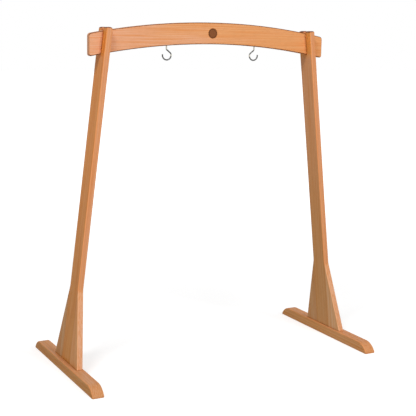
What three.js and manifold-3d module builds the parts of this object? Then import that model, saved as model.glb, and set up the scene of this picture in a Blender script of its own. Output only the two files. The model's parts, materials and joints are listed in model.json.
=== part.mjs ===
// A wooden gong stand. An arched crossbar sits in the forked tops of two leaning legs.
// Each leg is a board with a wedge glued to its front and back edges, on a long foot.
// Millimetres, +Z up, X along the crossbar, Y from the front to the back, floor at Z = 0.

import * as THREE from 'three';
import { mergeVertices } from 'three/addons/utils/BufferGeometryUtils.js';
import Module from 'manifold-3d';

const wasm = await Module();
wasm.setup();

// Stance of the stand
const CROWN_HEIGHT = 1531;
const FOOT_SPACING = 1380;
const LEG_LEAN_DEG = 6.9;

// Crossbar, a board sawn to an even arch
const BAR_HEIGHT = 96;
const BAR_THICKNESS = 27;
const BAR_ARCH_RADIUS = 3140;
const BAR_STUB = 66;
const BAR_CORNER_ROUND = 12;
const BAR_EDGE_ROUND = 5;

// Housings that the crossbar has for the legs
const HOUSING_DEPTH = 4;
const SHOULDER_ROUND = 4;

// Leg board and its fork
const POST_THICKNESS = 27;
const POST_DEPTH = 98;
const POST_EDGE_ROUND = 5.5;
const TINE_RISE = 13;
const TINE_CORNER_ROUND = 8;
const FORK_MOUTH_CHAMFER = 3;

// Wedges at the foot of the leg
const GUSSET_HEIGHT = 328;
const GUSSET_REACH = 94;
const GUSSET_BLEND_ROUND = 60;

// Foot
const FOOT_LENGTH = 745;
const FOOT_WIDTH = 54;
const FOOT_HEIGHT = 46;
const FOOT_END_ROUND = 75;
const FOOT_LIP = 7;
const FOOT_EDGE_ROUND = 6;
const FOOT_ARRIS = 1.5;

// Open screw hooks
const HOOK_SPACING = 446;
const HOOK_WIRE = 6;
const HOOK_DROP = 15;
const HOOK_BEND_RADIUS = 6;
const HOOK_SLANT_DEG = 45;
const HOOK_BELLY_RADIUS = 8;
const HOOK_EYE_RADIUS = 21;
const HOOK_EYE_SHIFT = 2;
const HOOK_TIP_RISE_DEG = 10;
const HOOK_THREAD_LENGTH = 38;
const HOOK_THREAD_DIAMETER = 5.2;
const HOOK_THREAD_POINT = 6;

// Round inlay in the middle of the crossbar's front
const INLAY_DIAMETER = 44;
const INLAY_RING_WIDTH = 5;
const INLAY_DEPTH = 4;

// Dowels and screws between the foot and the leg
const DOWEL_DIAMETER = 10;
const DOWEL_LENGTH = 50;
const DOWEL_CHAMFER = 1;
const SCREW_DIAMETER = 6;
const SCREW_LENGTH = 90;
const SCREW_HEAD_DIAMETER = 12;
const SCREW_HEAD_LAND = 1;
const SCREW_POINT = 8;
const SCREW_SINK = 2;

// Places of the dowels and screws, as shares of the depth of the board that holds them
const SCREW_PLACE_SHARE = 0.3;
const WEDGE_DOWEL_PLACE_SHARE = 0.5;

// Clearances
const FIT_CLEARANCE = 0.3;
const GLUE_GAP = 0.3;
const OVERRUN = 20;
const WELD_DISTANCE = 0.0001;

// Fineness of the faces
const ARCH_STEPS = 40;
const ROUND_STEPS = 4;
const CORNER_STEPS = 6;
const FOOT_END_STEPS = 10;
const TURNED_SIDES = 16;
const INLAY_SIDES = 40;
const WIRE_SIDES = 10;
const WIRE_STEPS = 72;

// Sizes that follow from the ones above
const LEAN = THREE.MathUtils.degToRad(LEG_LEAN_DEG);
const FOOT_X = FOOT_SPACING / 2;
const SEAT_HEIGHT = FOOT_HEIGHT + GLUE_GAP;
const BAR_CORE = BAR_THICKNESS - 2 * HOUSING_DEPTH;
const BAR_UNDER_RADIUS = BAR_ARCH_RADIUS - BAR_HEIGHT;
const ARCH_CENTRE_Z = CROWN_HEIGHT - BAR_ARCH_RADIUS;
const FORK_SLOT = BAR_CORE + 2 * FIT_CLEARANCE;

// Height of an arch's edge above the floor at the distance x from the middle.
function archHeight(radius, x) {
  return ARCH_CENTRE_Z + Math.sqrt(radius * radius - x * x);
}

// Distance of the leg's centre line from the middle at the height z.
function legCentreX(z) {
  return FOOT_X - z * Math.tan(LEAN);
}

const JOINT_X = legCentreX(CROWN_HEIGHT - BAR_HEIGHT / 2);
const HALF_POST_ACROSS = POST_THICKNESS / 2 / Math.cos(LEAN);
const BAR_HALF_LENGTH = JOINT_X + HALF_POST_ACROSS + BAR_STUB;
const TINE_TOP_Z = archHeight(BAR_ARCH_RADIUS, JOINT_X) + TINE_RISE;
const POST_TOP = TINE_TOP_Z / Math.cos(LEAN);
const GUSSET_TOP = (FOOT_HEIGHT + GUSSET_HEIGHT) / Math.cos(LEAN);
const GUSSET_FOOT = FOOT_HEIGHT / Math.cos(LEAN);

// Materials, one for each piece so that every board can have its own tone

function woodMaterial(color) {
  return new THREE.MeshStandardMaterial({ color, roughness: 0.55, metalness: 0 });
}

function steelMaterial(color) {
  return new THREE.MeshStandardMaterial({ color, roughness: 0.28, metalness: 1 });
}

const BEECH_LIGHT = 0xe2a071;
const BEECH_WARM = 0xd9955f;
const BEECH_FOOT = 0xc98b5c;
const DOWEL_BEECH = 0xdcb68c;
const DARK_WOOD = 0x5a3018;
const BROWN_WOOD = 0x8a5630;
const BRIGHT_STEEL = 0x9a9c98;
const SCREW_STEEL = 0xb7b09a;

// Solids: closed meshes that can be joined and cut

function toSolid(geometry) {
  const bare = geometry.clone();
  bare.deleteAttribute('normal');
  bare.deleteAttribute('uv');
  const merged = mergeVertices(bare, WELD_DISTANCE);
  const mesh = new wasm.Mesh({
    numProp: 3,
    vertProperties: new Float32Array(merged.attributes.position.array),
    triVerts: new Uint32Array(merged.index.array),
  });
  return new wasm.Manifold(mesh);
}

function toGeometry(solid) {
  const mesh = solid.getMesh();
  const geometry = new THREE.BufferGeometry();
  geometry.setAttribute('position', new THREE.BufferAttribute(mesh.vertProperties, 3));
  geometry.setIndex(new THREE.BufferAttribute(mesh.triVerts, 1));
  geometry.computeVertexNormals();
  return geometry;
}

function cut(solid, cutters) {
  return cutters.reduce((rest, cutter) => rest.subtract(toSolid(cutter)), solid);
}

// The same geometry, given in the room's frame, as it stands in a group's own frame.
function inFrameOf(group, geometry) {
  return geometry.clone().applyMatrix4(group.matrixWorld.clone().invert());
}

// Outlines

function corner(x, y, round = 0) {
  return { at: new THREE.Vector2(x, y), round };
}

// A closed outline whose corners are eased by arcs tangent to both sides.
function easedOutline(corners, steps = CORNER_STEPS) {
  const points = [];
  corners.forEach(({ at, round }, i) => {
    if (round === 0) {
      points.push(at);
      return;
    }
    const back = corners.at(i - 1).at.clone().sub(at).normalize();
    const ahead = corners[(i + 1) % corners.length].at.clone().sub(at).normalize();
    const half = Math.acos(back.dot(ahead)) / 2;
    const inward = back.clone().add(ahead).normalize();
    const centre = at.clone().addScaledVector(inward, round / Math.sin(half));
    const start = at.clone().addScaledVector(back, round / Math.tan(half));
    const turn = (Math.PI - 2 * half) * Math.sign(back.cross(ahead)) * -1;
    for (let k = 0; k <= steps; k += 1) {
      points.push(start.clone().rotateAround(centre, (turn * k) / steps));
    }
  });
  return new THREE.Shape(points);
}

// Points along an arch's edge from one x to another.
function archPoints(radius, fromX, toX) {
  return Array.from({ length: ARCH_STEPS + 1 }, (_, i) => {
    const x = THREE.MathUtils.lerp(fromX, toX, i / ARCH_STEPS);
    return corner(x, archHeight(radius, x));
  });
}

// Boards: an outline extruded to a thickness, centred on it, with both faces' edges rounded

function extrudedBoard(shape, thickness, round, steps = ROUND_STEPS) {
  const geometry = new THREE.ExtrudeGeometry(shape, {
    depth: thickness - 2 * round,
    bevelEnabled: round > 0,
    bevelThickness: round,
    bevelSize: round,
    bevelOffset: -round,
    bevelSegments: steps,
    curveSegments: CORNER_STEPS,
  });
  return geometry.translate(0, 0, round - thickness / 2);
}

// An outline drawn in X and Z, with its thickness along Y.
function facingFront(geometry) {
  return geometry.rotateX(Math.PI / 2);
}

// An outline drawn in Y and Z, with its thickness along X.
function facingSide(geometry) {
  const alongY = new THREE.Vector3(0, 1, 0);
  const alongZ = new THREE.Vector3(0, 0, 1);
  const alongX = new THREE.Vector3(1, 0, 0);
  return geometry.applyMatrix4(new THREE.Matrix4().makeBasis(alongY, alongZ, alongX));
}

// Blocks and turned shapes

function block(low, high) {
  const size = high.clone().sub(low);
  const middle = low.clone().add(high).multiplyScalar(0.5);
  return new THREE.BoxGeometry(size.x, size.y, size.z).translate(middle.x, middle.y, middle.z);
}

// A profile of radius and height turned about the Z axis.
function turned(profile, sides = TURNED_SIDES) {
  const points = profile.map(([radius, height]) => new THREE.Vector2(radius, height));
  return new THREE.LatheGeometry(points, sides).rotateX(Math.PI / 2);
}

function bore(radius, length) {
  return turned([[0, 0], [radius, 0], [radius, length], [0, length]]);
}

function dowelProfile() {
  const radius = DOWEL_DIAMETER / 2;
  return [
    [0, 0],
    [radius - DOWEL_CHAMFER, 0],
    [radius, DOWEL_CHAMFER],
    [radius, DOWEL_LENGTH - DOWEL_CHAMFER],
    [radius - DOWEL_CHAMFER, DOWEL_LENGTH],
    [0, DOWEL_LENGTH],
  ];
}

// A countersunk wood screw, head down, grown all round by a clearance.
function screwProfile(clearance, tail) {
  const shank = SCREW_DIAMETER / 2 + clearance;
  const head = SCREW_HEAD_DIAMETER / 2 + clearance;
  return [
    [0, -tail],
    [head, -tail],
    [head, SCREW_HEAD_LAND],
    [shank, SCREW_HEAD_LAND + head - shank],
    [shank, SCREW_LENGTH - SCREW_POINT],
    [0, SCREW_LENGTH + clearance],
  ];
}

// Crossbar

function barOutline() {
  const end = BAR_HALF_LENGTH;
  const top = archPoints(BAR_ARCH_RADIUS, end, -end);
  const under = archPoints(BAR_UNDER_RADIUS, -end, end);
  [top.at(0), top.at(-1), under.at(0), under.at(-1)].forEach((point) => {
    point.round = BAR_CORNER_ROUND;
  });
  return easedOutline([...top, ...under]);
}

// The channel that a leg's tine fills on one face of the crossbar. Its shoulders are rounded.
function housingCutter(upright, face) {
  const half = POST_THICKNESS / 2 + FIT_CLEARANCE;
  const round = Math.min(SHOULDER_ROUND, HOUSING_DEPTH);
  const outline = new THREE.Shape();
  outline.moveTo(-half - round, OVERRUN);
  outline.lineTo(-half - round, 0);
  outline.absarc(-half - round, -round, round, Math.PI / 2, 0, true);
  outline.lineTo(-half, -HOUSING_DEPTH);
  outline.lineTo(half, -HOUSING_DEPTH);
  outline.lineTo(half, -round);
  outline.absarc(half + round, -round, round, Math.PI, Math.PI / 2, true);
  outline.lineTo(half + round, OVERRUN);
  const length = 2 * BAR_HEIGHT + 2 * OVERRUN;
  const geometry = new THREE.ExtrudeGeometry(outline, {
    depth: length,
    bevelEnabled: false,
    curveSegments: CORNER_STEPS,
  });
  if (face < 0) {
    geometry.rotateZ(Math.PI);
  }
  geometry.translate(0, (face * BAR_THICKNESS) / 2, POST_TOP - length + OVERRUN);
  return geometry.applyMatrix4(upright.matrixWorld);
}

function hookX(side) {
  return (side * HOOK_SPACING) / 2;
}

function hookRootZ() {
  return archHeight(BAR_UNDER_RADIUS, HOOK_SPACING / 2);
}

function hookBore(side) {
  const length = HOOK_THREAD_LENGTH + FIT_CLEARANCE + OVERRUN;
  const radius = HOOK_WIRE / 2 + FIT_CLEARANCE;
  return bore(radius, length).translate(hookX(side), 0, hookRootZ() - OVERRUN);
}

// Places a shape turned about Z in the inlay's recess, with its face flush with the front.
function intoInlayRecess(geometry) {
  geometry.rotateX(Math.PI / 2);
  return geometry.translate(0, -BAR_THICKNESS / 2 + INLAY_DEPTH, CROWN_HEIGHT - BAR_HEIGHT / 2);
}

function inlayRecess() {
  const radius = INLAY_DIAMETER / 2 + FIT_CLEARANCE;
  const profile = [
    [0, -FIT_CLEARANCE],
    [radius, -FIT_CLEARANCE],
    [radius, INLAY_DEPTH + OVERRUN],
    [0, INLAY_DEPTH + OVERRUN],
  ];
  return intoInlayRecess(turned(profile, INLAY_SIDES));
}

function crossbarGeometry(uprights) {
  const blank = facingFront(extrudedBoard(barOutline(), BAR_THICKNESS, BAR_EDGE_ROUND));
  const housings = uprights.flatMap((upright) => [-1, 1].map((face) => housingCutter(upright, face)));
  const cutters = [...housings, hookBore(-1), hookBore(1), inlayRecess()];
  return toGeometry(cut(toSolid(blank), cutters));
}

function inlayRingGeometry() {
  const outer = INLAY_DIAMETER / 2;
  const inner = outer - INLAY_RING_WIDTH;
  const profile = [[inner, 0], [outer, 0], [outer, INLAY_DEPTH], [inner, INLAY_DEPTH], [inner, 0]];
  return intoInlayRecess(turned(profile, INLAY_SIDES));
}

function inlayDiscGeometry() {
  const radius = INLAY_DIAMETER / 2 - INLAY_RING_WIDTH - FIT_CLEARANCE;
  const profile = [[0, 0], [radius, 0], [radius, INLAY_DEPTH], [0, INLAY_DEPTH]];
  return intoInlayRecess(turned(profile, INLAY_SIDES));
}

// Screw hooks

// An arc in the X and Z plane.
class WireArc extends THREE.Curve {
  constructor(centre, radius, startAngle, sweep) {
    super();
    Object.assign(this, { centre, radius, startAngle, sweep });
  }

  getPoint(t, target = new THREE.Vector3()) {
    const angle = this.startAngle + this.sweep * t;
    const x = this.centre.x + this.radius * Math.cos(angle);
    const z = this.centre.y + this.radius * Math.sin(angle);
    return target.set(x, 0, z);
  }
}

// The wire's centre line, from inside the wood down the shank, along a slant to the belly,
// which swings towards +X, and from there round the open eye to the tip.
function hookPath() {
  const slant = THREE.MathUtils.degToRad(HOOK_SLANT_DEG);
  const reach = HOOK_BEND_RADIUS * Math.tan(slant / 2);
  const slantEndX = HOOK_EYE_SHIFT + HOOK_EYE_RADIUS - HOOK_BELLY_RADIUS * (1 - Math.cos(slant));
  const slantEndZ = -HOOK_DROP - slantEndX / Math.tan(slant);
  const eye = new THREE.Vector2(HOOK_EYE_SHIFT, slantEndZ - HOOK_BELLY_RADIUS * Math.sin(slant));
  const bellyCentre = new THREE.Vector2(eye.x + HOOK_EYE_RADIUS - HOOK_BELLY_RADIUS, eye.y);
  const bendCentre = new THREE.Vector2(HOOK_BEND_RADIUS, reach - HOOK_DROP);
  const bend = new WireArc(bendCentre, HOOK_BEND_RADIUS, Math.PI, slant);
  const belly = new WireArc(bellyCentre, HOOK_BELLY_RADIUS, slant, -slant);
  const sweep = Math.PI + THREE.MathUtils.degToRad(HOOK_TIP_RISE_DEG);
  const loop = new WireArc(eye, HOOK_EYE_RADIUS, 0, -sweep);
  const path = new THREE.CurvePath();
  path.add(new THREE.LineCurve3(new THREE.Vector3(0, 0, HOOK_WIRE), bend.getPoint(0)));
  path.add(bend);
  path.add(new THREE.LineCurve3(bend.getPoint(1), belly.getPoint(0)));
  path.add(belly);
  path.add(loop);
  return path;
}

function hookGeometry() {
  const section = new THREE.Shape(Array.from({ length: WIRE_SIDES }, (_, i) => (
    new THREE.Vector2(HOOK_WIRE / 2, 0).rotateAround(new THREE.Vector2(), (2 * Math.PI * i) / WIRE_SIDES)
  )));
  const wire = new THREE.ExtrudeGeometry(section, {
    extrudePath: hookPath(),
    steps: WIRE_STEPS,
    bevelEnabled: false,
  });
  const radius = HOOK_THREAD_DIAMETER / 2;
  const thread = turned([
    [0, HOOK_WIRE / 2],
    [radius, HOOK_WIRE / 2],
    [radius, HOOK_THREAD_LENGTH - HOOK_THREAD_POINT],
    [0, HOOK_THREAD_LENGTH],
  ], WIRE_SIDES);
  return toGeometry(toSolid(wire).add(toSolid(thread)));
}

// Legs

// The leg board and its two wedges as one blank, rounded along its whole outline.
// The blank's outline lies in Y and along the leg.
function legBlank() {
  const half = POST_DEPTH / 2;
  const slope = GUSSET_REACH / (GUSSET_TOP - GUSSET_FOOT);
  const bottom = GUSSET_FOOT - FOOT_HEIGHT;
  const bottomHalf = half + slope * (GUSSET_TOP - bottom);
  const outline = easedOutline([
    corner(-bottomHalf, bottom),
    corner(bottomHalf, bottom),
    corner(half, GUSSET_TOP, GUSSET_BLEND_ROUND),
    corner(half, POST_TOP, TINE_CORNER_ROUND),
    corner(-half, POST_TOP, TINE_CORNER_ROUND),
    corner(-half, GUSSET_TOP, GUSSET_BLEND_ROUND),
  ]);
  return toSolid(facingSide(extrudedBoard(outline, POST_THICKNESS, POST_EDGE_ROUND)));
}

// Everything at and below the top of the foot.
function footSpace() {
  const reach = POST_DEPTH + 2 * GUSSET_REACH + OVERRUN;
  const low = new THREE.Vector3(-FOOT_SPACING, -reach, -FOOT_HEIGHT - OVERRUN);
  return block(low, new THREE.Vector3(FOOT_SPACING, reach, SEAT_HEIGHT));
}

// The room that a wedge takes on one side of the leg board, down to its glued face.
function wedgeSpace(face, gluedAt) {
  const across = POST_THICKNESS;
  const outer = POST_DEPTH + 2 * GUSSET_REACH;
  const ends = [face * gluedAt, face * outer].sort((a, b) => a - b);
  const low = new THREE.Vector3(-across, ends[0], -FOOT_HEIGHT - OVERRUN);
  return block(low, new THREE.Vector3(across, ends[1], GUSSET_TOP));
}

// The crossbar's core and the way that it comes in from above, in the room's frame.
function forkSlot() {
  const floor = archPoints(BAR_UNDER_RADIUS - FIT_CLEARANCE, -BAR_HALF_LENGTH, BAR_HALF_LENGTH);
  const above = TINE_TOP_Z + OVERRUN;
  const outline = easedOutline([
    ...floor,
    corner(BAR_HALF_LENGTH, above),
    corner(-BAR_HALF_LENGTH, above),
  ]);
  return facingFront(extrudedBoard(outline, FORK_SLOT, 0));
}

// The slanted mouth of the fork, in the leg's own frame.
function forkMouth() {
  const half = FORK_SLOT / 2;
  const wide = half + FORK_MOUTH_CHAMFER + OVERRUN;
  const outline = easedOutline([
    corner(-wide, POST_TOP + OVERRUN),
    corner(-half, POST_TOP - FORK_MOUTH_CHAMFER),
    corner(half, POST_TOP - FORK_MOUTH_CHAMFER),
    corner(wide, POST_TOP + OVERRUN),
  ]);
  return facingSide(extrudedBoard(outline, 2 * POST_THICKNESS, 0));
}

// Dowels and screws stand upright where the leg's centre line meets the foot's top.

const FIXING_X = legCentreX(FOOT_HEIGHT);
const DOWEL_LOW_Z = SEAT_HEIGHT - DOWEL_LENGTH / 2;
const WEDGE_DOWEL_Y = POST_DEPTH / 2 + GUSSET_REACH * WEDGE_DOWEL_PLACE_SHARE;
const SCREW_Y = POST_DEPTH * SCREW_PLACE_SHARE;
const DOWEL_PLACES = { centre: 0, front: -WEDGE_DOWEL_Y, back: WEDGE_DOWEL_Y };
const SCREW_PLACES = { front: -SCREW_Y, back: SCREW_Y };

function dowelBores(side) {
  const length = DOWEL_LENGTH + 2 * FIT_CLEARANCE;
  const radius = DOWEL_DIAMETER / 2 + FIT_CLEARANCE;
  return Object.values(DOWEL_PLACES).map((y) => (
    bore(radius, length).translate(side * FIXING_X, y, DOWEL_LOW_Z - FIT_CLEARANCE)
  ));
}

function screwBores(side) {
  return Object.values(SCREW_PLACES).map((y) => (
    turned(screwProfile(FIT_CLEARANCE, OVERRUN)).translate(side * FIXING_X, y, SCREW_SINK)
  ));
}

function postGeometry(upright, side) {
  const ownCuts = [-1, 1].map((face) => wedgeSpace(face, POST_DEPTH / 2 - GLUE_GAP));
  const roomCuts = [footSpace(), forkSlot(), ...dowelBores(side), ...screwBores(side)];
  const cutters = [...ownCuts, forkMouth(), ...roomCuts.map((shape) => inFrameOf(upright, shape))];
  return toGeometry(cut(legBlank(), cutters));
}

function gussetGeometry(upright, side, face) {
  const wedge = legBlank().intersect(toSolid(wedgeSpace(face, POST_DEPTH / 2)));
  const roomCuts = [footSpace(), ...dowelBores(side)];
  return toGeometry(cut(wedge, roomCuts.map((shape) => inFrameOf(upright, shape))));
}

// Feet

// One end of the foot's outline: an arc that leaves the top level and meets an upright lip.
function footEnd(sign) {
  const drop = FOOT_HEIGHT - FOOT_LIP;
  const run = Math.sqrt(2 * FOOT_END_ROUND * drop - drop * drop);
  const sweep = Math.asin(run / FOOT_END_ROUND);
  const startY = FOOT_LENGTH / 2 - run;
  return Array.from({ length: FOOT_END_STEPS + 1 }, (_, i) => {
    const angle = (sweep * i) / FOOT_END_STEPS;
    const y = startY + FOOT_END_ROUND * Math.sin(angle);
    const z = FOOT_HEIGHT - FOOT_END_ROUND * (1 - Math.cos(angle));
    return corner(sign * y, z);
  });
}

// The blank runs on below the floor and is sawn off there, so only its upper edges are round.
function footGeometry(side) {
  const half = FOOT_LENGTH / 2;
  const below = -2 * FOOT_EDGE_ROUND;
  const outline = easedOutline([
    corner(-half, below),
    corner(half, below),
    ...footEnd(1).reverse(),
    ...footEnd(-1),
  ]);
  const blank = facingSide(extrudedBoard(outline, FOOT_WIDTH, FOOT_EDGE_ROUND));
  const plan = easedOutline([
    corner(-FOOT_WIDTH / 2, -half),
    corner(FOOT_WIDTH / 2, -half),
    corner(FOOT_WIDTH / 2, half),
    corner(-FOOT_WIDTH / 2, half),
  ]);
  const height = FOOT_HEIGHT + 2 * OVERRUN;
  const sawn = extrudedBoard(plan, height, FOOT_ARRIS, 1).translate(0, 0, height / 2);
  const bores = [...dowelBores(side), ...screwBores(side)];
  const ownBores = bores.map((shape) => shape.translate(-side * FOOT_X, 0, 0));
  return toGeometry(cut(toSolid(blank).intersect(toSolid(sawn)), ownBores));
}

// Assembly

function mesh(name, geometry, material) {
  const piece = new THREE.Mesh(geometry, material);
  piece.name = name;
  return piece;
}

// A group that leans with a leg and has its origin where the leg's centre line meets the floor.
function leaningGroup(side) {
  const upright = new THREE.Group();
  upright.position.set(side * FOOT_X, 0, 0);
  upright.rotation.y = -side * LEAN;
  upright.updateMatrixWorld(true);
  return upright;
}

function hook(name, side) {
  const piece = mesh(name, hookGeometry(), steelMaterial(BRIGHT_STEEL));
  piece.position.set(hookX(side), 0, hookRootZ());
  piece.rotation.z = side > 0 ? Math.PI : 0;
  return piece;
}

function legPieces(word, side, upright) {
  upright.add(mesh(`post_${word}`, postGeometry(upright, side), woodMaterial(BEECH_WARM)));
  Object.entries({ front: -1, back: 1 }).forEach(([place, face]) => {
    const geometry = gussetGeometry(upright, side, face);
    upright.add(mesh(`gusset_${word}_${place}`, geometry, woodMaterial(BEECH_LIGHT)));
  });

  const foot = mesh(`foot_${word}`, footGeometry(side), woodMaterial(BEECH_FOOT));
  foot.position.x = side * FOOT_X;

  const dowels = Object.entries(DOWEL_PLACES).map(([place, y]) => {
    const dowel = mesh(`dowel_${word}_${place}`, turned(dowelProfile()), woodMaterial(DOWEL_BEECH));
    dowel.position.set(side * FIXING_X, y, DOWEL_LOW_Z);
    return dowel;
  });

  const screws = Object.entries(SCREW_PLACES).map(([place, y]) => {
    const screw = mesh(`screw_${word}_${place}`, turned(screwProfile(0, 0)), steelMaterial(SCREW_STEEL));
    screw.position.set(side * FIXING_X, y, SCREW_SINK);
    return screw;
  });

  return [upright, foot, ...dowels, ...screws];
}

const leftUpright = leaningGroup(-1);
const rightUpright = leaningGroup(1);

const stand = new THREE.Group();
stand.add(mesh('crossbar', crossbarGeometry([leftUpright, rightUpright]), woodMaterial(BEECH_LIGHT)));
stand.add(mesh('inlay_ring', inlayRingGeometry(), woodMaterial(DARK_WOOD)));
stand.add(mesh('inlay_disc', inlayDiscGeometry(), woodMaterial(BROWN_WOOD)));
stand.add(hook('hook_left', -1));
stand.add(hook('hook_right', 1));
stand.add(...legPieces('left', -1, leftUpright));
stand.add(...legPieces('right', 1, rightUpright));

export default stand;
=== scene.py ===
"""A beech gong stand: an arched crossbar with screw hooks in the forked tops of two leaning legs."""

import json
import math

import bmesh
import bpy
from bpy.props import FloatProperty, FloatVectorProperty, PointerProperty
from mathutils import Matrix, Vector

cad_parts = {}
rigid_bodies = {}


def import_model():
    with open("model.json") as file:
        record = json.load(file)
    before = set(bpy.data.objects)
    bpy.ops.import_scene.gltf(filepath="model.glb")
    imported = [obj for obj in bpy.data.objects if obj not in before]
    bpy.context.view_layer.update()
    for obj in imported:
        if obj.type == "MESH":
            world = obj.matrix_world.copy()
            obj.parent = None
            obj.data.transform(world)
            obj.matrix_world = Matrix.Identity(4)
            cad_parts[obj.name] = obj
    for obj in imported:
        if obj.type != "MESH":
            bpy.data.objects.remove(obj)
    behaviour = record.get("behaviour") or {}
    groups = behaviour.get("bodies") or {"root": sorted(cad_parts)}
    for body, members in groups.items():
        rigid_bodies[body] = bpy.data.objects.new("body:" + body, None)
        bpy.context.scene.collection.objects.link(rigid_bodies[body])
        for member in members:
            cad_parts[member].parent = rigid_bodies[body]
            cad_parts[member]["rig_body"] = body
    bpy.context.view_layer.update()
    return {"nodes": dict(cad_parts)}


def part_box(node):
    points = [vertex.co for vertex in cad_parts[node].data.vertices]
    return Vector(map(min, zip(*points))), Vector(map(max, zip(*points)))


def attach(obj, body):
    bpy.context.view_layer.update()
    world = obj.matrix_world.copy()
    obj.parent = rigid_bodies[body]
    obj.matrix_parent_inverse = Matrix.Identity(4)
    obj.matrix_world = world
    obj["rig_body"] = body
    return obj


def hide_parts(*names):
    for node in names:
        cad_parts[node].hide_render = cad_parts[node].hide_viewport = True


bl_info = {
    "name": "Gong Stand",
    "version": (1, 0, 0),
    "blender": (4, 5, 0),
    "location": "View3D > Sidebar > Gong Stand",
    "description": "Models a beech gong stand with an arched crossbar, leaning legs and screw hooks",
    "category": "Object",
}

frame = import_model()

# Boxes of the frame's nodes, from which sizes and places are taken
BAR_LOW, BAR_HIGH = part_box("crossbar")
FOOT_LOW, FOOT_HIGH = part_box("foot_right")
RING_LOW, RING_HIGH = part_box("inlay_ring")
DISC_LOW, DISC_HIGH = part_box("inlay_disc")
HOOK_LOW, HOOK_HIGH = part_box("hook_right")
SCREW_LOW, SCREW_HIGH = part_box("screw_right_front")
SEAT_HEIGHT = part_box("post_right")[0].z

MILLIMETRE = 0.001
SIDES = {"left": -1, "right": 1}
FACES = {"front": -1, "back": 1}
DOWEL_PLACES = ("centre", *FACES)

# Fineness of the meshes
ARCH_STEPS = 36
ROUND_STEPS = 5
CORNER_STEPS = 8
END_STEPS = 18
WIRE_SIDES = 24
BEND_STEPS = 8
EYE_STEPS = 48
TURNED_SIDES = 32
INLAY_SIDES = 96
THREAD_STEPS = 20

# Small distances: joining loose vertices, how far a cutter runs past what it cuts, and play in fits
WELD = 0.02 * MILLIMETRE
OVERRUN = 20 * MILLIMETRE
FIT = 0.3 * MILLIMETRE

# Edges with more than these angles are shaded as sharp, and count as creases
SHARP_ANGLE = math.radians(32)
CREASE_ANGLE = math.radians(50)


# Settings

def length(name, description, default):
    return FloatProperty(
        name=name,
        description=description,
        default=default,
        min=0.0,
        precision=4,
        unit="LENGTH",
    )


def angle(name, description, default):
    return FloatProperty(name=name, description=description, default=default, unit="ROTATION")


def lamp_power(name, description, default):
    return FloatProperty(name=name, description=description, default=default, min=0.0, unit="POWER")


def share(name, description, default):
    return FloatProperty(name=name, description=description, default=default, min=0.0, subtype="FACTOR")


def linear(channel):
    """A screen value from 0 to 255 as a scene value from 0 to 1."""
    value = channel / 255
    return value / 12.92 if value <= 0.04045 else ((value + 0.055) / 1.055) ** 2.4


def colour(name, description, red, green, blue):
    return FloatVectorProperty(
        name=name,
        description=description,
        default=(linear(red), linear(green), linear(blue)),
        min=0.0,
        max=1.0,
        subtype="COLOR",
    )


class CrossbarSizes(bpy.types.PropertyGroup):
    """Sizes of the arched board"""

    length: length("Length", "Overall length of the crossbar", BAR_HIGH.x - BAR_LOW.x)
    thickness: length("Thickness", "Thickness of the board", BAR_HIGH.y - BAR_LOW.y)
    height: length("Height", "Height of the board, from its upper to its lower edge", 0.096)
    crown: length("Crown", "Height of the highest point above the floor", BAR_HIGH.z)
    arch_radius: length("Arch radius", "Radius of the upper edge", 3.14)
    end_round: length("End round", "Radius of the corners at both ends", 0.012)
    edge_round: length("Edge round", "Radius of the long edges", 0.005)
    housing_depth: length("Housing depth", "Depth and shoulder radius of the housings for the legs", 0.004)


class LegSizes(bpy.types.PropertyGroup):
    """Sizes of the leaning boards, their forks and their wedges"""

    spacing: length("Spacing", "Distance between the legs at the floor", FOOT_HIGH.x + FOOT_LOW.x)
    lean: angle("Lean", "Angle by which each leg leans inward", math.radians(6.9))
    thickness: length("Thickness", "Thickness of the board", 0.027)
    depth: length("Depth", "Depth of the board from the front to the back", 0.098)
    edge_round: length("Edge round", "Radius of the long edges", 0.0055)
    tine_rise: length("Tine rise", "How far the tines stand above the crossbar", 0.013)
    tine_round: length("Tine round", "Radius of the upper corners, seen from the side", 0.008)
    tine_ease: length("Tine ease", "Width of the tines' rounded shoulders, across the board", 0.0125)
    tine_fall: length("Tine fall", "Height of the tines' rounded shoulders", 0.010)
    mouth_chamfer: length("Mouth chamfer", "Chamfer on the mouth of the fork", 0.003)
    wedge_height: length("Wedge height", "Height of the wedges above the foot", 0.328)
    wedge_reach: length("Wedge reach", "Depth of a wedge where it meets the foot", 0.094)
    wedge_blend: length("Wedge blend", "Radius where a wedge runs out into the board", 0.06)


class FootSizes(bpy.types.PropertyGroup):
    """Sizes of the feet"""

    length: length("Length", "Length from the front to the back", FOOT_HIGH.y - FOOT_LOW.y)
    width: length("Width", "Width of the foot", FOOT_HIGH.x - FOOT_LOW.x)
    height: length("Height", "Height of the foot", FOOT_HIGH.z - FOOT_LOW.z)
    end_round: length("End round", "Radius of the arc at both ends", 0.075)
    lip: length("Lip", "Height of the upright lip under the arc", 0.007)
    edge_round: length("Edge round", "Radius of the upper edges", 0.006)
    arris: length("Arris", "Chamfer round the underside", 0.0015)


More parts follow.
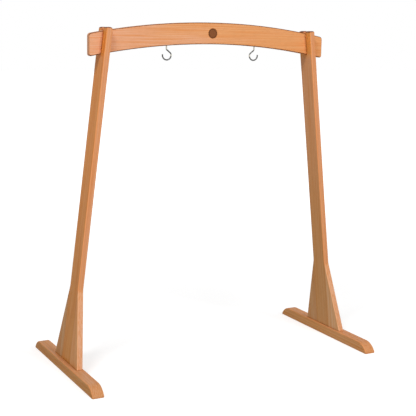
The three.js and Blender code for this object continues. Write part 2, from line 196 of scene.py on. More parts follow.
class HookSizes(bpy.types.PropertyGroup):
    """Sizes of the screw hooks"""

    spacing: length("Spacing", "Distance between the shanks", 0.446)
    wire: length("Wire", "Diameter of the wire", HOOK_HIGH.y - HOOK_LOW.y)
    drop: length("Drop", "Distance from the wood down to where the slant meets the shank", 0.0165)
    slant: angle("Slant", "How far the wire slants out from the shank to the eye", math.radians(52))
    bend_radius: length("Bend radius", "Radius of the bend from the shank into the slant", 0.006)
    belly_radius: length("Belly radius", "Radius of the bend from the slant into the eye", 0.014)
    eye_radius: length("Eye radius", "Radius of the eye, at the middle of the wire", 0.021)
    eye_shift: length("Eye shift", "How far the eye's centre lies from under the shank", 0.002)
    tip_rise: angle("Tip rise", "How far the eye runs on above the level of its centre", math.radians(10))
    thread_length: length("Thread length", "Length of the screw in the wood", 0.038)
    thread_core: length("Thread core", "Diameter of the screw's core", 0.0042)
    thread_pitch: length("Thread pitch", "Distance from one turn to the next", 0.0024)


class WoodLook(bpy.types.PropertyGroup):
    """Colours and figure of the oiled beech"""

    face: colour("Face", "Golden, freshly oiled beech", 231, 164, 109)
    rose: colour("Rose", "Steamed, pinker beech", 234, 176, 140)
    late: colour("Late wood", "Darker lines of the growth rings", 221, 138, 74)
    fleck: colour("Fleck", "Short dark ray flecks", 150, 88, 50)
    # Dark is used for the real dark glue seams, and also as painted shade on the crossbar's rounded edges
    # and just above the feet
    dark: colour("Dark", "Sharp edges and joints, where the oil has darkened the wood", 108, 52, 12)
    soaked: colour("Soaked", "What end grain, which drinks more oil, is multiplied by", 134, 104, 66)
    # A painted highlight on the rounded edges of the legs, feet and dowels, with some wear
    rubbed_highlight: colour("Rubbed", "Rounded edges that hands and cloths keep bright", 244, 164, 106)
    # A painted highlight on the wedges' rounded edges
    pale: colour("Pale", "Rounded edges of the pinker boards", 250, 187, 138)
    ring_spacing: length("Ring spacing", "Distance between growth rings", 0.008)
    roughness: share("Roughness", "Roughness of the oiled surface", 0.46)


class StageLook(bpy.types.PropertyGroup):
    """The floor, the lamps and the camera"""

    floor: share("Floor", "Brightness of the floor", 0.7)
    ambient: share("Ambient", "Strength of the light from all round", 0.25)
    key_power: lamp_power("Key power", "Power of the main lamp", 262)
    side_power: lamp_power("Side power", "Power of the lamp at the left", 266)
    lens: FloatProperty(name="Lens", description="Focal length", default=84.77, min=1.0, unit="CAMERA")


class StandSettings(bpy.types.PropertyGroup):
    """All that can be set on the stand"""

    crossbar: PointerProperty(name="Crossbar", description="Arched board", type=CrossbarSizes)
    leg: PointerProperty(name="Legs", description="Leaning boards and wedges", type=LegSizes)
    foot: PointerProperty(name="Feet", description="Long bars on the floor", type=FootSizes)
    hook: PointerProperty(name="Hooks", description="Screw hooks", type=HookSizes)
    wood: PointerProperty(name="Wood", description="Oiled beech", type=WoodLook)
    stage: PointerProperty(name="Stage", description="Floor, lamps and camera", type=StageLook)


def settings():
    return bpy.context.scene.gong_stand


# Places that follow from the sizes

def arch_centre():
    """The point about which both long edges of the crossbar are sawn."""
    bar = settings().crossbar
    return Vector((0, 0, bar.crown - bar.arch_radius))


def under_radius():
    """Radius of the crossbar's lower edge."""
    bar = settings().crossbar
    return bar.arch_radius - bar.height


def arch_height(radius, x):
    """Height above the floor of an arc about the crossbar's centre."""
    return arch_centre().z + math.sqrt(radius * radius - x * x)


def leg_frame(side):
    """The frame of a leg: its X across the board, its Z up along it, its origin on the floor."""
    leg = settings().leg
    move = Matrix.Translation((side * leg.spacing / 2, 0, 0))
    return move @ Matrix.Rotation(-side * leg.lean, 4, "Y")


def along_leg(height):
    """How far up the leaning board a height above the floor is."""
    return height / math.cos(settings().leg.lean)


def joint_x():
    """How far from the middle the legs cross the crossbar."""
    bar = settings().crossbar
    leg = settings().leg
    return leg.spacing / 2 - (bar.crown - bar.height / 2) * math.tan(leg.lean)


def tine_top():
    """Height of the tines' top along the leg."""
    top = arch_height(settings().crossbar.arch_radius, joint_x())
    return along_leg(top + settings().leg.tine_rise)


def wedge_top():
    """Height of the wedges' tops along the leg."""
    return along_leg(settings().foot.height + settings().leg.wedge_height)


def fork_slot():
    """Width of the slot that the crossbar's core sits in."""
    bar = settings().crossbar
    return bar.thickness - 2 * bar.housing_depth + 2 * FIT


# Mesh helpers

def everything(bm):
    return bm.verts[:] + bm.edges[:] + bm.faces[:]


def of_kind(geometry, kind):
    return [item for item in geometry if isinstance(item, kind)]


def round_off(bm, edges, offset, steps):
    """Rounds edges over, or chamfers them where there is one step."""
    bmesh.ops.bevel(
        bm,
        geom=edges,
        offset=offset,
        offset_type="OFFSET",
        segments=steps,
        profile=0.5,
        affect="EDGES",
        clamp_overlap=True,
        material=-1,
    )


def score(bm, point, normal):
    """Divides the faces that a plane crosses, along the plane."""
    bmesh.ops.bisect_plane(bm, geom=everything(bm), dist=WELD, plane_co=point, plane_no=normal)


def saw_off(bm, point, normal):
    """Takes away what lies beyond a plane, on the side of its normal, and closes the cut."""
    made = bmesh.ops.bisect_plane(
        bm,
        geom=everything(bm),
        dist=WELD,
        plane_co=point,
        plane_no=normal,
        clear_outer=True,
    )
    rim = [edge for edge in of_kind(made["geom_cut"], bmesh.types.BMEdge) if edge.is_boundary]
    bmesh.ops.holes_fill(bm, edges=rim, sides=0)


def sweep(bm, geometry, centre, axis, turn, steps, climb=(0, 0, 0), merge=False):
    """Spins vertices and edges and gives what they become at the far end."""
    made = bmesh.ops.spin(
        bm,
        geom=geometry,
        cent=centre,
        axis=axis,
        dvec=climb,
        angle=turn,
        steps=steps,
        use_merge=merge,
        use_duplicate=False,
    )
    return made["geom_last"]


def extend(bm, chain, move):
    """Extrudes a chain of edges by a vector and gives the new chain."""
    made = bmesh.ops.extrude_edge_only(bm, edges=of_kind(chain, bmesh.types.BMEdge))["geom"]
    verts = of_kind(made, bmesh.types.BMVert)
    bmesh.ops.translate(bm, vec=move, verts=verts)
    ends = set(verts)
    return verts + [e for e in of_kind(made, bmesh.types.BMEdge) if ends.issuperset(e.verts)]


def narrow(bm, chain, scale):
    """Draws a chain in towards the Z axis."""
    bmesh.ops.scale(bm, vec=(scale, scale, 1), verts=of_kind(chain, bmesh.types.BMVert))


def turned(profile, sides=TURNED_SIDES):
    """A closed body from a profile of radius and height, turned about Z."""
    bm = bmesh.new()
    verts = [bm.verts.new((radius, 0, height)) for radius, height in profile]
    edges = [bm.edges.new(pair) for pair in zip(verts, verts[1:])]
    sweep(bm, verts + edges, (0, 0, 0), (0, 0, 1), 2 * math.pi, sides, merge=True)
    return closed(bm)


def cylinder(radius, low, high, sides=TURNED_SIDES):
    """A closed cylinder about Z, from one height to another."""
    return turned([(0, low), (radius, low), (radius, high), (0, high)], sides)


def closed(bm):
    """Joins loose vertices and turns all faces outward."""
    bmesh.ops.remove_doubles(bm, verts=bm.verts[:], dist=WELD)
    bmesh.ops.recalc_face_normals(bm, faces=bm.faces[:])
    return bm


def block(low, high):
    """A box from its lowest to its highest corner."""
    low, high = Vector(low), Vector(high)
    bm = bmesh.new()
    size = high - low
    middle = Matrix.Translation((low + high) / 2)
    bmesh.ops.create_cube(bm, size=1, matrix=middle @ Matrix.Diagonal((*size, 1)))
    return bm


def moved(bm, matrix):
    bmesh.ops.transform(bm, matrix=matrix, verts=bm.verts[:])
    return bm


def moved_to(bm, node):
    """Moves a body made about Z sideways to a node's own place."""
    low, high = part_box(node)
    middle = (low + high) / 2
    return moved(bm, Matrix.Translation((middle.x, middle.y, 0)))


def joined(bm, others, operation):
    """Takes closed meshes from a mesh or adds them to it, and fills the slits that this leaves."""
    target = bpy.data.objects.new("boolean_target", bpy.data.meshes.new("boolean_target"))
    bm.to_mesh(target.data)
    bm.free()
    bpy.context.scene.collection.objects.link(target)
    tools = []
    for other in others:
        tool = bpy.data.objects.new("boolean_tool", bpy.data.meshes.new("boolean_tool"))
        other.to_mesh(tool.data)
        other.free()
        bpy.context.scene.collection.objects.link(tool)
        step = target.modifiers.new("Boolean", "BOOLEAN")
        step.operation = operation
        step.solver = "EXACT"
        step.object = tool
        tools.append(tool)
    bpy.context.view_layer.update()
    result = bmesh.new()
    result.from_object(target, bpy.context.evaluated_depsgraph_get())
    for done in [target, *tools]:
        mesh = done.data
        bpy.data.objects.remove(done)
        bpy.data.meshes.remove(mesh)
    bmesh.ops.remove_doubles(result, verts=result.verts[:], dist=WELD)
    slits = [edge for edge in result.edges if edge.is_boundary]
    bmesh.ops.holes_fill(result, edges=slits, sides=0)
    return result


def carved(bm, cutters):
    return joined(bm, cutters, "DIFFERENCE")


def add_piece(bm, name, node, material):
    """Makes the finished piece that stands for a node and rides with it."""
    mesh = bpy.data.meshes.new(name)
    bm.to_mesh(mesh)
    bm.free()
    mesh.shade_smooth()
    mesh.set_sharp_from_angle(angle=SHARP_ANGLE)
    mesh.materials.append(material)
    piece = bpy.data.objects.new(name, mesh)
    bpy.context.scene.collection.objects.link(piece)
    even = piece.modifiers.new("Even shading", "WEIGHTED_NORMAL")
    even.mode = "FACE_AREA"
    even.weight = 100
    even.keep_sharp = True
    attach(piece, frame["nodes"][node]["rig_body"])
    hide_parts(node)
    return piece


# Crossbar

def arched_board(low_radius, high_radius, half_thickness, half_length):
    """A closed board with both long edges sawn to arcs about the crossbar's centre."""
    centre = arch_centre()
    bm = bmesh.new()
    corners = [
        (-half_thickness, low_radius),
        (half_thickness, low_radius),
        (half_thickness, high_radius),
        (-half_thickness, high_radius),
    ]
    verts = [bm.verts.new((0, y, centre.z + radius)) for y, radius in corners]
    chain = verts + [bm.edges.new((verts[i - 1], verts[i])) for i in range(len(verts))]
    last_step = half_length / ARCH_STEPS * 2
    swing = math.asin((half_length - last_step) / high_radius)
    bmesh.ops.rotate(bm, cent=centre, matrix=Matrix.Rotation(-swing, 3, "Y"), verts=verts)
    far = sweep(bm, chain, centre, (0, 1, 0), 2 * swing, ARCH_STEPS)
    for end, chain in ((-half_length, chain), (half_length, far)):
        rim = extend(bm, chain, (0, 0, 0))
        for vert in of_kind(rim, bmesh.types.BMVert):
            outer = (vert.co - centre).xz.length > (low_radius + high_radius) / 2
            radius = high_radius if outer else low_radius
            vert.co = (end, vert.co.y, arch_height(radius, end))
        bmesh.ops.contextual_create(bm, geom=of_kind(rim, bmesh.types.BMEdge))
    return closed(bm)


def rim_edges(bm, axis, distance):
    """Creased edges that lie in either of two planes, at a distance from the middle along an axis."""
    return [
        edge for edge in bm.edges
        if all(abs(abs(vert.co[axis]) - distance) < WELD for vert in edge.verts)
        and edge.calc_face_angle(0) > CREASE_ANGLE
    ]


def press_housings(bm, side):
    """Lets the channels for a leg's tines into both faces, with rounded shoulders."""
    bar = settings().crossbar
    frame_of_leg = leg_frame(side)
    across = frame_of_leg.to_3x3() @ Vector((1, 0, 0))
    half = settings().leg.thickness / 2 + FIT
    depth = bar.housing_depth
    places = [
        half + depth * (1 - math.cos(math.pi / 2 * step / ROUND_STEPS))
        for step in range(ROUND_STEPS + 1)
    ]
    for distance in [sign * place for place in places for sign in (-1, 1)]:
        point = frame_of_leg @ Vector((distance, 0, along_leg(bar.crown)))
        score(bm, point, across)
    into_leg = frame_of_leg.inverted()
    floor = bar.thickness / 2 - depth
    for vert in bm.verts:
        beyond = min(max(abs((into_leg @ vert.co).x) - half, 0), depth)
        limit = floor + math.sqrt(depth * depth - (depth - beyond) ** 2)
        vert.co.y = math.copysign(min(abs(vert.co.y), limit), vert.co.y)


def hook_place(side):
    """Moves a hook made about Z to where its shank meets the wood."""
    x = side * settings().hook.spacing / 2
    return Matrix.Translation((x, 0, arch_height(under_radius(), x)))


def hook_bore(side):
    """Room for a hook's screw in the crossbar."""
    hook = settings().hook
    bore = cylinder(hook.wire / 2 + FIT, -OVERRUN, hook.thread_length + FIT)
    return moved(bore, hook_place(side))


def inlay_recess():
    """The round recess for the inlay, from its floor to in front of the crossbar."""
    radius = (RING_HIGH.x - RING_LOW.x) / 2 + FIT
    depth = RING_HIGH.y - RING_LOW.y
    return moved(cylinder(radius, -FIT, depth + OVERRUN, INLAY_SIDES), facing_front())


def facing_front():
    """Turns a body made on Z to face the front, with its floor in the inlay's recess."""
    middle = (RING_LOW + RING_HIGH) / 2
    return Matrix.Translation((0, RING_HIGH.y, middle.z)) @ Matrix.Rotation(math.pi / 2, 4, "X")


def crossbar_mesh():
    """The arched board, rounded at its ends and edges, with the housings, the recess and the bores."""
    bar = settings().crossbar
    half = bar.thickness / 2
    bm = arched_board(under_radius(), bar.arch_radius, half, bar.length / 2)
    corners = [
        edge for edge in bm.edges
        if all(abs(abs(vert.co.x) - bar.length / 2) < WELD for vert in edge.verts)
        and abs(edge.verts[0].co.y - edge.verts[1].co.y) > half
    ]
    round_off(bm, corners, bar.end_round, CORNER_STEPS)
    round_off(bm, rim_edges(bm, 1, half), bar.edge_round, ROUND_STEPS)
    for side in SIDES.values():
        press_housings(bm, side)
    return carved(bm, [inlay_recess(), hook_bore(-1), hook_bore(1)])


# Inlay

def inlay_body(low, high, hollow):
    """A flat disc or ring that lies in the recess, its front edge slightly eased."""
    radius = (high.x - low.x) / 2
    depth = high.y - low.y
    ease = FIT
    inner = [(hollow, 0)] if hollow else [(0, 0)]
    rim = [(radius, 0), (radius, depth - ease), (radius - ease, depth)]
    top = [(hollow + ease, depth), (hollow, depth - ease), (hollow, 0)] if hollow else [(0, depth)]
    return moved(turned(inner + rim + top, INLAY_SIDES), facing_front())


# Screw hooks

THREAD_ROOT_SHARE = 0.8


def thread(core, crest, pitch, low, high):
    """A closed spiral ridge about Z, rooted a little inside its core."""
    bm = bmesh.new()
    root = core * THREAD_ROOT_SHARE
    points = [(root, -pitch / 3), (crest, 0), (root, pitch / 3)]
    verts = [bm.verts.new((radius, 0, low + height)) for radius, height in points]
    chain = verts + [bm.edges.new((verts[i - 1], verts[i])) for i in range(len(verts))]
    start = of_kind(chain, bmesh.types.BMEdge)
    turns = (high - low) / pitch
    steps = round(turns * THREAD_STEPS)
    climb = (0, 0, (high - low) / steps)
    far = sweep(bm, chain, (0, 0, 0), (0, 0, 1), 2 * math.pi * turns, steps, climb)
    bmesh.ops.contextual_create(bm, geom=start)
    bmesh.ops.contextual_create(bm, geom=of_kind(far, bmesh.types.BMEdge))
    return closed(bm)


def hook_belly_x():
    """How far the centre of a hook's belly lies from its shank."""
    hook = settings().hook
    return hook.eye_shift + hook.eye_radius - hook.belly_radius


def hook_slant_end():
    """Where a hook's slant meets its belly, from where its shank meets the wood."""
    hook = settings().hook
    x = hook_belly_x() + hook.belly_radius * math.cos(hook.slant)
    return Vector((x, 0, -hook.drop - x / math.tan(hook.slant)))


def hook_eye_height():
    """Height of a hook's eye, from where its shank meets the wood."""
    hook = settings().hook
    return hook_slant_end().z - hook.belly_radius * math.sin(hook.slant)


def hook_mesh(side):
    """The wire from its point in the wood down round the open eye, its belly towards the middle."""
    hook = settings().hook
    radius = hook.wire / 2
    across, down = math.cos(hook.slant), math.sin(hook.slant)
    bend_height = hook.bend_radius * math.tan(hook.slant / 2) - hook.drop
    bend_centre = Vector((hook.bend_radius, 0, bend_height))
    slant_start = bend_centre - hook.bend_radius * Vector((across, 0, down))
    belly_centre = (hook_belly_x(), 0, hook_eye_height())
    eye = (hook.eye_shift, 0, hook_eye_height())

    bm = bmesh.new()
    bmesh.ops.create_circle(bm, segments=WIRE_SIDES, radius=radius)
    start = bm.edges[:]
    top = extend(bm, start, (0, 0, radius))
    core = hook.thread_core / 2
    top = extend(bm, top, (0, 0, radius - core))
    narrow(bm, top, core / radius)
    neck = 2 * radius - core
    top = extend(bm, top, (0, 0, hook.thread_length - 2 * radius - neck))
    top = extend(bm, top, (0, 0, 2 * radius))
    narrow(bm, top, 0)

    chain = extend(bm, start, (0, 0, bend_height))
    chain = sweep(bm, chain, bend_centre, (0, -1, 0), hook.slant, BEND_STEPS)
    chain = extend(bm, chain, hook_slant_end() - slant_start)
    chain = sweep(bm, chain, belly_centre, (0, -1, 0), -hook.slant, BEND_STEPS)
    chain = sweep(bm, chain, eye, (0, -1, 0), -(math.pi + hook.tip_rise), EYE_STEPS)
    tip = sum((vert.co for vert in of_kind(chain, bmesh.types.BMVert)), Vector()) / WIRE_SIDES
    bmesh.ops.contextual_create(bm, geom=of_kind(chain, bmesh.types.BMEdge))
    closed(bm)
    tip_rim = [
        edge for edge in bm.edges
        if all((vert.co - tip).length < radius + WELD for vert in edge.verts)
        and edge.calc_face_angle(0) > CREASE_ANGLE
    ]
    round_off(bm, tip_rim, radius / 3, ROUND_STEPS)
    spiral = thread(core, radius, hook.thread_pitch, neck + radius, hook.thread_length - 3 * radius)
    bm = joined(bm, [spiral], "UNION")
    turn_round = Matrix.Rotation(math.pi if side > 0 else 0, 4, "Z")
    return moved(bm, hook_place(side) @ turn_round)


# Legs

def leg_blank(side):
    """The leg board and its two wedges as one board, rounded along its whole outline."""
    leg = settings().leg
    half = leg.depth / 2
    wedge_foot = along_leg(settings().foot.height)
    slope = leg.wedge_reach / (wedge_top() - wedge_foot)
    bottom = wedge_foot - settings().foot.height
    bottom_half = half + slope * (wedge_top() - bottom)
    outline = [
        (-bottom_half, bottom),
        (bottom_half, bottom),
        (half, wedge_top()),
        (half, tine_top()),
        (-half, tine_top()),
        (-half, wedge_top()),
    ]
    bm = bmesh.new()
    verts = [bm.verts.new((-leg.thickness / 2, y, z)) for y, z in outline]
    made = bmesh.ops.extrude_face_region(bm, geom=[bm.faces.new(verts)])["geom"]
    bmesh.ops.translate(bm, vec=(leg.thickness, 0, 0), verts=of_kind(made, bmesh.types.BMVert))
    closed(bm)

    def across_edges(height):
        return [
            edge for edge in bm.edges
            if all(abs(vert.co.z - height) < WELD for vert in edge.verts)
            and abs(edge.verts[0].co.x - edge.verts[1].co.x) > WELD
        ]

    bend = math.atan(slope)
    round_off(bm, across_edges(wedge_top()), leg.wedge_blend * math.tan(bend / 2), ROUND_STEPS)
    round_off(bm, across_edges(tine_top()), leg.tine_round, CORNER_STEPS)
    round_off(bm, rim_edges(bm, 0, leg.thickness / 2), leg.edge_round, ROUND_STEPS)
    ease_tines(bm)
    return moved(bm, leg_frame(side))


def ease_tines(bm):
    """Rounds the top across the board's thickness, further than the other edges.

    The faces that this bends are made triangles, so that the cuts after it come out clean.
    """
    leg = settings().leg
    start = tine_top() - leg.tine_fall
    flat = leg.thickness / 2 - leg.tine_ease
    for step in range(CORNER_STEPS):
        height = start + leg.tine_fall * math.sin(math.pi / 2 * step / CORNER_STEPS)
        score(bm, (0, 0, height), (0, 0, 1))
    for vert in bm.verts:
        rise = min(max(vert.co.z - start, 0) / leg.tine_fall, 1)
        limit = flat + leg.tine_ease * math.sqrt(1 - rise * rise)
        vert.co.x = math.copysign(min(abs(vert.co.x), limit), vert.co.x)
    bent = [face for face in bm.faces if max(vert.co.z for vert in face.verts) > start + WELD]
    bmesh.ops.triangulate(bm, faces=bent)


def fork_cutters(side):
    """The slot that the crossbar's core sits in, and its chamfered mouth."""
    bar = settings().crossbar
    leg = settings().leg
    half = fork_slot() / 2
    low = under_radius() - FIT
    slot = arched_board(low, bar.arch_radius + leg.tine_rise + 2 * OVERRUN, half, bar.length / 2)
    chamfer = leg.mouth_chamfer + OVERRUN
    mouth = block(
        (-leg.thickness, -half, tine_top() - leg.mouth_chamfer),
        (leg.thickness, half, tine_top() + OVERRUN),
    )
    upper = [vert for vert in mouth.verts if vert.co.z > tine_top()]
    bmesh.ops.scale(mouth, vec=(1, (half + chamfer) / half, 1), verts=upper)
    return [slot, moved(mouth, leg_frame(side))]


SCREW_SHANK = 6 * MILLIMETRE
SCREW_HEAD_LAND = 1 * MILLIMETRE
SCREW_POINT = 8 * MILLIMETRE
CROSS_ARM = SCREW_SHANK / 2
CROSS_SLIT = SCREW_SHANK / 8
CROSS_DEPTH = SCREW_SHANK / 3


def screw_profile(grown, tail):
    """Half the outline of a countersunk screw with its head down, grown all round."""
    shank = SCREW_SHANK / 2 + grown
    head = (SCREW_HIGH.x - SCREW_LOW.x) / 2 + grown
    low, high = SCREW_LOW.z, SCREW_HIGH.z
    land = low + SCREW_HEAD_LAND
    return [
        (0, low - tail),
        (head, low - tail),
        (head, land),
        (shank, land + head - shank),
        (shank, high - SCREW_POINT),
        (0, high + grown),
    ]


def dowel_bore(node):
    """Room for a dowel, at the dowel's own place."""
    low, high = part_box(node)
    radius = (high.x - low.x) / 2 + FIT
    return moved_to(cylinder(radius, low.z - FIT, high.z + FIT), node)


def screw_bore(node):
    """Room for a wood screw, at the screw's own place."""
    return moved_to(turned(screw_profile(FIT, OVERRUN)), node)


def fixing_bores(word, dowels, screws=tuple(FACES)):
    """Bores round some of the dowels and screws of one leg."""
    bores = [dowel_bore(f"dowel_{word}_{where}") for where in dowels]
    return bores + [screw_bore(f"screw_{word}_{where}") for where in screws]


def post_mesh(word, side):
    """The leg's blank without its wedges, with the fork sawn into its top."""
    leg = settings().leg
    bm = leg_blank(side)
    saw_off(bm, (0, 0, SEAT_HEIGHT), (0, 0, -1))
    glued = leg.depth / 2 - FIT
    outer = leg.depth / 2 + 2 * leg.wedge_reach
    cutters = [
        moved(block(
            (-leg.thickness, min(face * glued, face * outer), -OVERRUN),
            (leg.thickness, max(face * glued, face * outer), wedge_top()),
        ), leg_frame(side))
        for face in FACES.values()
    ]
    return carved(bm, cutters + fork_cutters(side) + fixing_bores(word, ["centre"]))


def wedge_mesh(word, side, where, face):
    """What is left of the leg's blank in front of or behind the leg board."""
    bm = leg_blank(side)
    frame_of_leg = leg_frame(side)
    up = frame_of_leg.to_3x3() @ Vector((0, 0, 1))
    saw_off(bm, (0, 0, SEAT_HEIGHT), (0, 0, -1))
    saw_off(bm, frame_of_leg @ Vector((0, 0, wedge_top())), up)
    saw_off(bm, (0, face * settings().leg.depth / 2, 0), (0, -face, 0))
    return carved(bm, fixing_bores(word, [where], []))


# Feet

def foot_mesh(word, side):
    """A bar whose ends fall in an arc to an upright lip, rounded but for its underside."""
    foot = settings().foot
    drop = foot.height - foot.lip
    run = math.sqrt(2 * foot.end_round * drop - drop * drop)
    swing = math.asin(run / foot.end_round)
    start_y = foot.length / 2 - run
    x = -foot.width / 2
    bm = bmesh.new()
    top = bm.verts.new((x, start_y, foot.height))
    centre = (x, start_y, foot.height - foot.end_round)
    sweep(bm, [top], centre, (1, 0, 0), -swing, END_STEPS)
    bmesh.ops.mirror(bm, geom=everything(bm), axis="Y", merge_dist=WELD)
    low = -2 * foot.edge_round
    lips = sorted(bm.verts, key=lambda vert: abs(vert.co.y))[-2:]
    made = [bm.verts.new((x, lip.co.y, low)) for lip in lips]
    for lip, corner in zip(lips, made):
        bm.edges.new((lip, corner))
    bm.edges.new(made)
    bm.edges.new([vert for vert in bm.verts if abs(vert.co.z - foot.height) < WELD])
    bmesh.ops.edgenet_fill(bm, edges=bm.edges[:])
    made = bmesh.ops.extrude_face_region(bm, geom=bm.faces[:])["geom"]
    bmesh.ops.translate(bm, vec=(foot.width, 0, 0), verts=of_kind(made, bmesh.types.BMVert))
    closed(bm)
    rim = [
        edge for edge in rim_edges(bm, 0, foot.width / 2)
        if any(vert.co.z > low + WELD for vert in edge.verts)
    ]
    round_off(bm, rim, foot.edge_round, ROUND_STEPS)
    saw_off(bm, (0, 0, 0), (0, 0, -1))
    under = [edge for edge in bm.edges if all(abs(vert.co.z) < WELD for vert in edge.verts)]
    round_off(bm, under, foot.arris, 1)
    moved(bm, Matrix.Translation((side * settings().leg.spacing / 2, 0, 0)))
    return carved(bm, fixing_bores(word, DOWEL_PLACES))


# Wood screws

def screw_mesh(node):
    """A countersunk screw with a cross in its head."""
    cutters = []
    for turn in (0, math.pi / 2):
        arm = block(
            (-CROSS_ARM, -CROSS_SLIT, SCREW_LOW.z - OVERRUN),
            (CROSS_ARM, CROSS_SLIT, SCREW_LOW.z + CROSS_DEPTH),
        )
        cutters.append(moved(arm, Matrix.Rotation(turn, 4, "Z")))
    return moved_to(carved(turned(screw_profile(0, 0)), cutters), node)


# Shader helpers

def add_node(tree, kind, inputs, **values):
    """Adds a node. An input is a plain value or another node's output."""
    node = tree.nodes.new(kind)
    for name, value in values.items():
        setattr(node, name, value)
    for socket, value in inputs.items():
        if isinstance(value, bpy.types.NodeSocket):
            tree.links.new(value, node.inputs[socket])
        else:
            node.inputs[socket].default_value = value
    return node


def calculate(tree, operation, *values):
    return add_node(tree, "ShaderNodeMath", dict(enumerate(values)), operation=operation).outputs[0]


def stretch(tree, vector, scale):
    values = {0: vector, 1: scale}
    return add_node(tree, "ShaderNodeVectorMath", values, operation="MULTIPLY").outputs[0]


def size_of(tree, vector):
    return add_node(tree, "ShaderNodeVectorMath", {0: vector}, operation="LENGTH").outputs["Value"]


def agreement(tree, first, second):
    """The dot product of two directions."""
    values = {0: first, 1: second}
    return add_node(tree, "ShaderNodeVectorMath", values, operation="DOT_PRODUCT").outputs["Value"]


def parts_of(tree, vector):
    """The X, Y and Z of a vector."""
    return add_node(tree, "ShaderNodeSeparateXYZ", {0: vector}).outputs


def noise(tree, place, fineness, detail=2.0, roughness=0.5):
    """Noise with its own fineness along X, Y and Z, in features to a metre."""
    vector = stretch(tree, place, fineness)
    values = {"Vector": vector, "Scale": 1.0, "Detail": detail, "Roughness": roughness}
    return add_node(tree, "ShaderNodeTexNoise", values).outputs["Fac"]


def remap(tree, value, low, high, to_low=0.0, to_high=1.0):
    """Turns a value that runs from low to high into one that runs softly between two others."""
    values = {"Value": value, "From Min": low, "From Max": high, "To Min": to_low, "To Max": to_high}
    made = add_node(tree, "ShaderNodeMapRange", values, interpolation_type="SMOOTHSTEP")
    return made.outputs["Result"]


def mix(tree, factor, first, second, blend="MIX"):
    values = {0: factor, 6: first, 7: second}
    return add_node(tree, "ShaderNodeMix", values, data_type="RGBA", blend_type=blend).outputs[2]


def mix_in(tree, mask, amount, first, second, blend="MIX"):
    """Mixes a second colour into the first where a mask says so, by no more than an amount."""
    return mix(tree, calculate(tree, "MULTIPLY", mask, amount), first, second, blend)


def group_tree(name, inputs, outputs):
    """A shader node group with named sockets, and its input and output nodes."""
    tree = bpy.data.node_groups.new(name, "ShaderNodeTree")
    for socket_name, kind, default in inputs:
        socket = tree.interface.new_socket(name=socket_name, in_out="INPUT", socket_type=kind)
        if default is not None:
            socket.default_value = default
    for socket_name, kind in outputs:
        tree.interface.new_socket(name=socket_name, in_out="OUTPUT", socket_type=kind)
    source = tree.nodes.new("NodeGroupInput")
    sink = tree.nodes.new("NodeGroupOutput")
    return tree, source.outputs, sink.inputs


def use_group(tree, name, build, inputs):
    """Uses a node group by its name, and builds it the first time."""
    group = bpy.data.node_groups.get(name) or build(name)
    return add_node(tree, "ShaderNodeGroup", inputs, node_tree=group).outputs


def new_material(name):
    material = bpy.data.materials.new(name)
    material.use_nodes = True
    tree = material.node_tree
    return material, tree, tree.nodes["Principled BSDF"]


def roughen(tree, shader, height, strength, depth):
    """Gives a surface fine relief from a height, of which 1 stands for the depth."""
    values = {"Height": height, "Strength": strength, "Distance": depth}
    relief = add_node(tree, "ShaderNodeBump", values)
    tree.links.new(relief.outputs["Normal"], shader.inputs["Normal"])


# Wood

COLOUR = "NodeSocketColor"
VECTOR = "NodeSocketVector"
NUMBER = "NodeSocketFloat"

# Fineness of beech along the grain and twice across it: the sway of its rings, its pinker parts, its
# streaks, its fibres, the cells that carry ray flecks, where these crowd, and the patches in which its
# edges take painted light and shade
SWAY_FINENESS = (0.9, 6.0, 6.0)
BLUSH_FINENESS = (1.6, 9.0, 9.0)
STREAK_FINENESS = (2.4, 150.0, 150.0)
FIBRE_FINENESS = (40.0, 1500.0, 1500.0)
FLECK_FINENESS = (260.0, 1050.0, 1050.0)
CROWD_FINENESS = (30.0, 90.0, 90.0)
EDGE_PATCH_FINENESS = (14.0, 60.0, 60.0)

RING_SWAY = 0.045
RING_AMOUNT = 0.5
STREAK_AMOUNT = 0.95
FLECK_AMOUNT = 0.42
FIBRE_SHADES = (0.94, 1.04)


